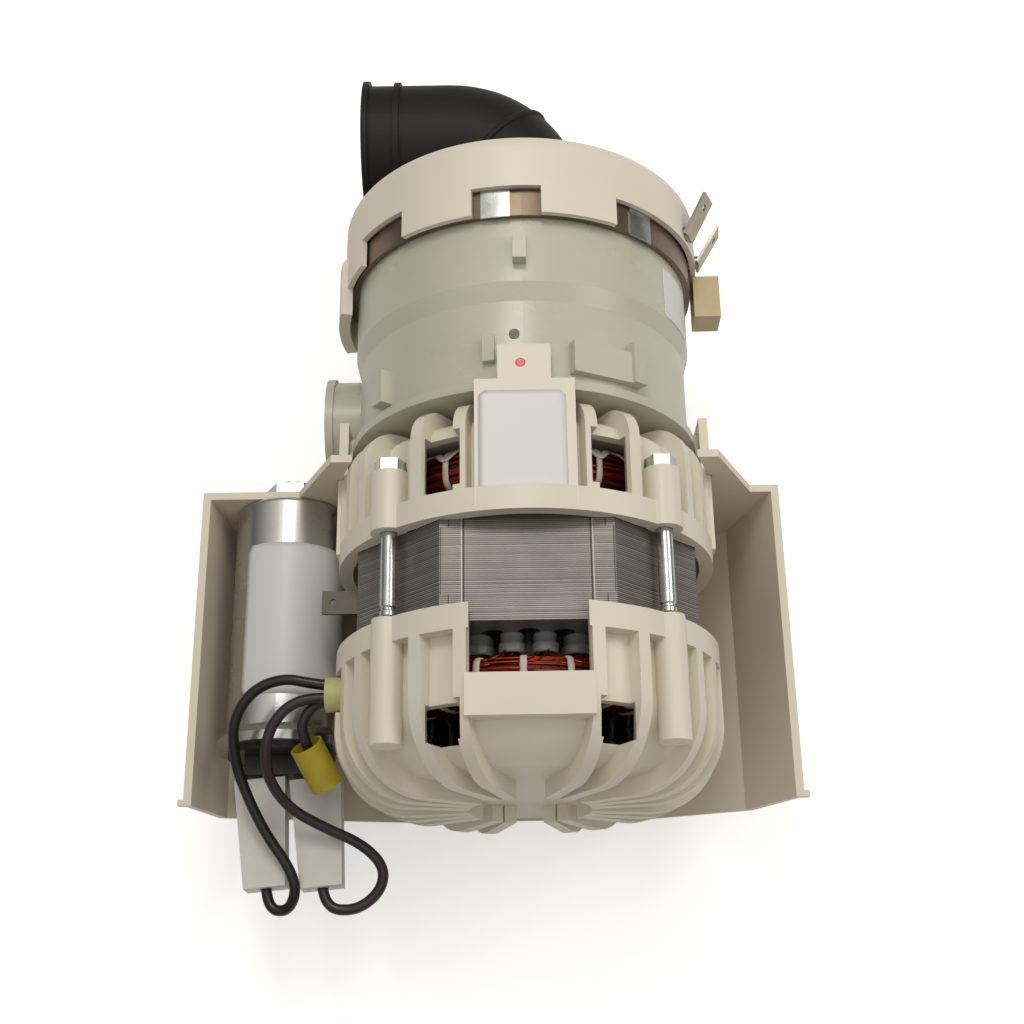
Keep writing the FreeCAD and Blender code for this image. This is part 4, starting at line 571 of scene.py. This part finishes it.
def make_labels():
    """The plate's label and the red dab lie flat on top of the front shield, and the others
    follow the capacitor's can or the pump bowl."""
    u, v, faces = sheet_of(width=21.5, length=28.7, corner=1.6)
    plate = np.stack([u - 0.65, v + 42.85, 0 * u + AXIS_HEIGHT + PLATE_HEIGHT], axis=-1)
    stick("plate_label", plate, faces, LABEL)
    round_label("capacitor_label", CAN_CENTRE, radius=15.12, middle=30, width=36.9, along=16.5,
                length=42.0, corner=LABEL_CORNER, surface=LABEL)
    round_label("bowl_label", (0, 0), radius=46.42, middle=65.2, width=16.5, along=96.9,
                length=15.2, corner=LABEL_CORNER, surface=LABEL)
    u, v, faces = sheet_of(width=2.5, length=2.4, corner=1.2, rows=12, columns=10)
    dab = np.stack([u - 0.9, v + 64.8, 0 * u + AXIS_HEIGHT + DAB_HEIGHT], axis=-1)
    stick("red_dab", dab, faces, RED_PAINT, DAB_THICKNESS)
    round_label("brown_dab", (0, 0), radius=44.98, middle=-2.9, width=2.6, along=74.5,
                length=2.9, corner=1.25, surface=BROWN_PAINT)


# Studio: pale floor, soft lamps

FILL_OVERHEAD, FILL_LEVEL = 0.92, 0.11
LAMPS = [("key", (-0.05, 0.4, 0.8), 0.22, 1.5), ("right", (0.5, 0.2, 0.5), 0.25, 0.8)]
LAMP_TARGET = (0, 0.03, 0.05)
FLOOR_REACH = 3.0
FLOOR_GLOW = 0.45


def make_studio():
    """The surround's light is a level plus the square of the ray's height times the overhead
    share, the camera sees it white, and each lamp has a place, a size and its watts."""
    world = bpy.data.worlds.new("studio")
    bpy.context.scene.world = world
    world.use_nodes = True
    tree = world.node_tree
    tree.nodes.clear()
    path = node(tree, "LightPath")
    ray = node(tree, "NewGeometry")
    parts = node(tree, "SeparateXYZ", {0: ray.outputs["Incoming"]})
    overhead = node(tree, "Math", {0: parts.outputs[2], 1: parts.outputs[2]},
                    operation="MULTIPLY")
    strength = node(tree, "Math", {0: overhead.outputs[0], 1: FILL_OVERHEAD, 2: FILL_LEVEL},
                    operation="MULTIPLY_ADD")
    fill = node(tree, "Background", {"Color": (1.0, 0.975, 0.93, 1),
                                     "Strength": strength.outputs[0]})
    shown = node(tree, "Background", {"Color": (1, 1, 1, 1), "Strength": 1.0})
    chosen = node(tree, "MixShader", {0: path.outputs["Is Camera Ray"], 1: fill.outputs[0],
                                      2: shown.outputs[0]})
    out = node(tree, "OutputWorld")
    tree.links.new(chosen.outputs[0], out.inputs[0])
    for name, place, size, watts in LAMPS:
        data = bpy.data.lights.new(name, "AREA")
        data.size = size
        data.energy = watts
        data.color = (1.0, 0.965, 0.9)
        lamp = bpy.data.objects.new(name, data)
        lamp.location = place
        aim = Vector(LAMP_TARGET) - Vector(place)
        lamp.rotation_euler = aim.to_track_quat("-Z", "Y").to_euler()
        bpy.context.scene.collection.objects.link(lamp)
    mesh = bpy.data.meshes.new("floor")
    reach = FLOOR_REACH
    mesh.from_pydata([(-reach, -reach, 0), (reach, -reach, 0), (reach, reach, 0),
                      (-reach, reach, 0)], [], [(0, 1, 2, 3)])
    floor = bpy.data.objects.new("floor", mesh)
    bpy.context.scene.collection.objects.link(floor)
    made, tree, shader, _ = start_material("pale_floor")
    shader.inputs["Base Color"].default_value = linear("#f4f4f4")
    shader.inputs["Roughness"].default_value = 0.7
    path = node(tree, "LightPath")
    glow = node(tree, "Math", {0: path.outputs["Is Camera Ray"], 1: FLOOR_GLOW},
                operation="MULTIPLY")
    shader.inputs["Emission Color"].default_value = (1, 1, 1, 1)
    tree.links.new(glow.outputs[0], shader.inputs["Emission Strength"])
    mesh.materials.append(made)


make_camera()
make_studio()
dress_nodes()
make_lead("black_wire", BLACK_ROUTE, BLACK_PVC)
make_lead("purple_wire", PURPLE_ROUTE, PURPLE_PVC)
make_lead("purple_wire_short", SHORT_ROUTE, PURPLE_PVC)
make_windings()
make_labels()

bpy.context.scene.view_settings.view_transform = "Standard"
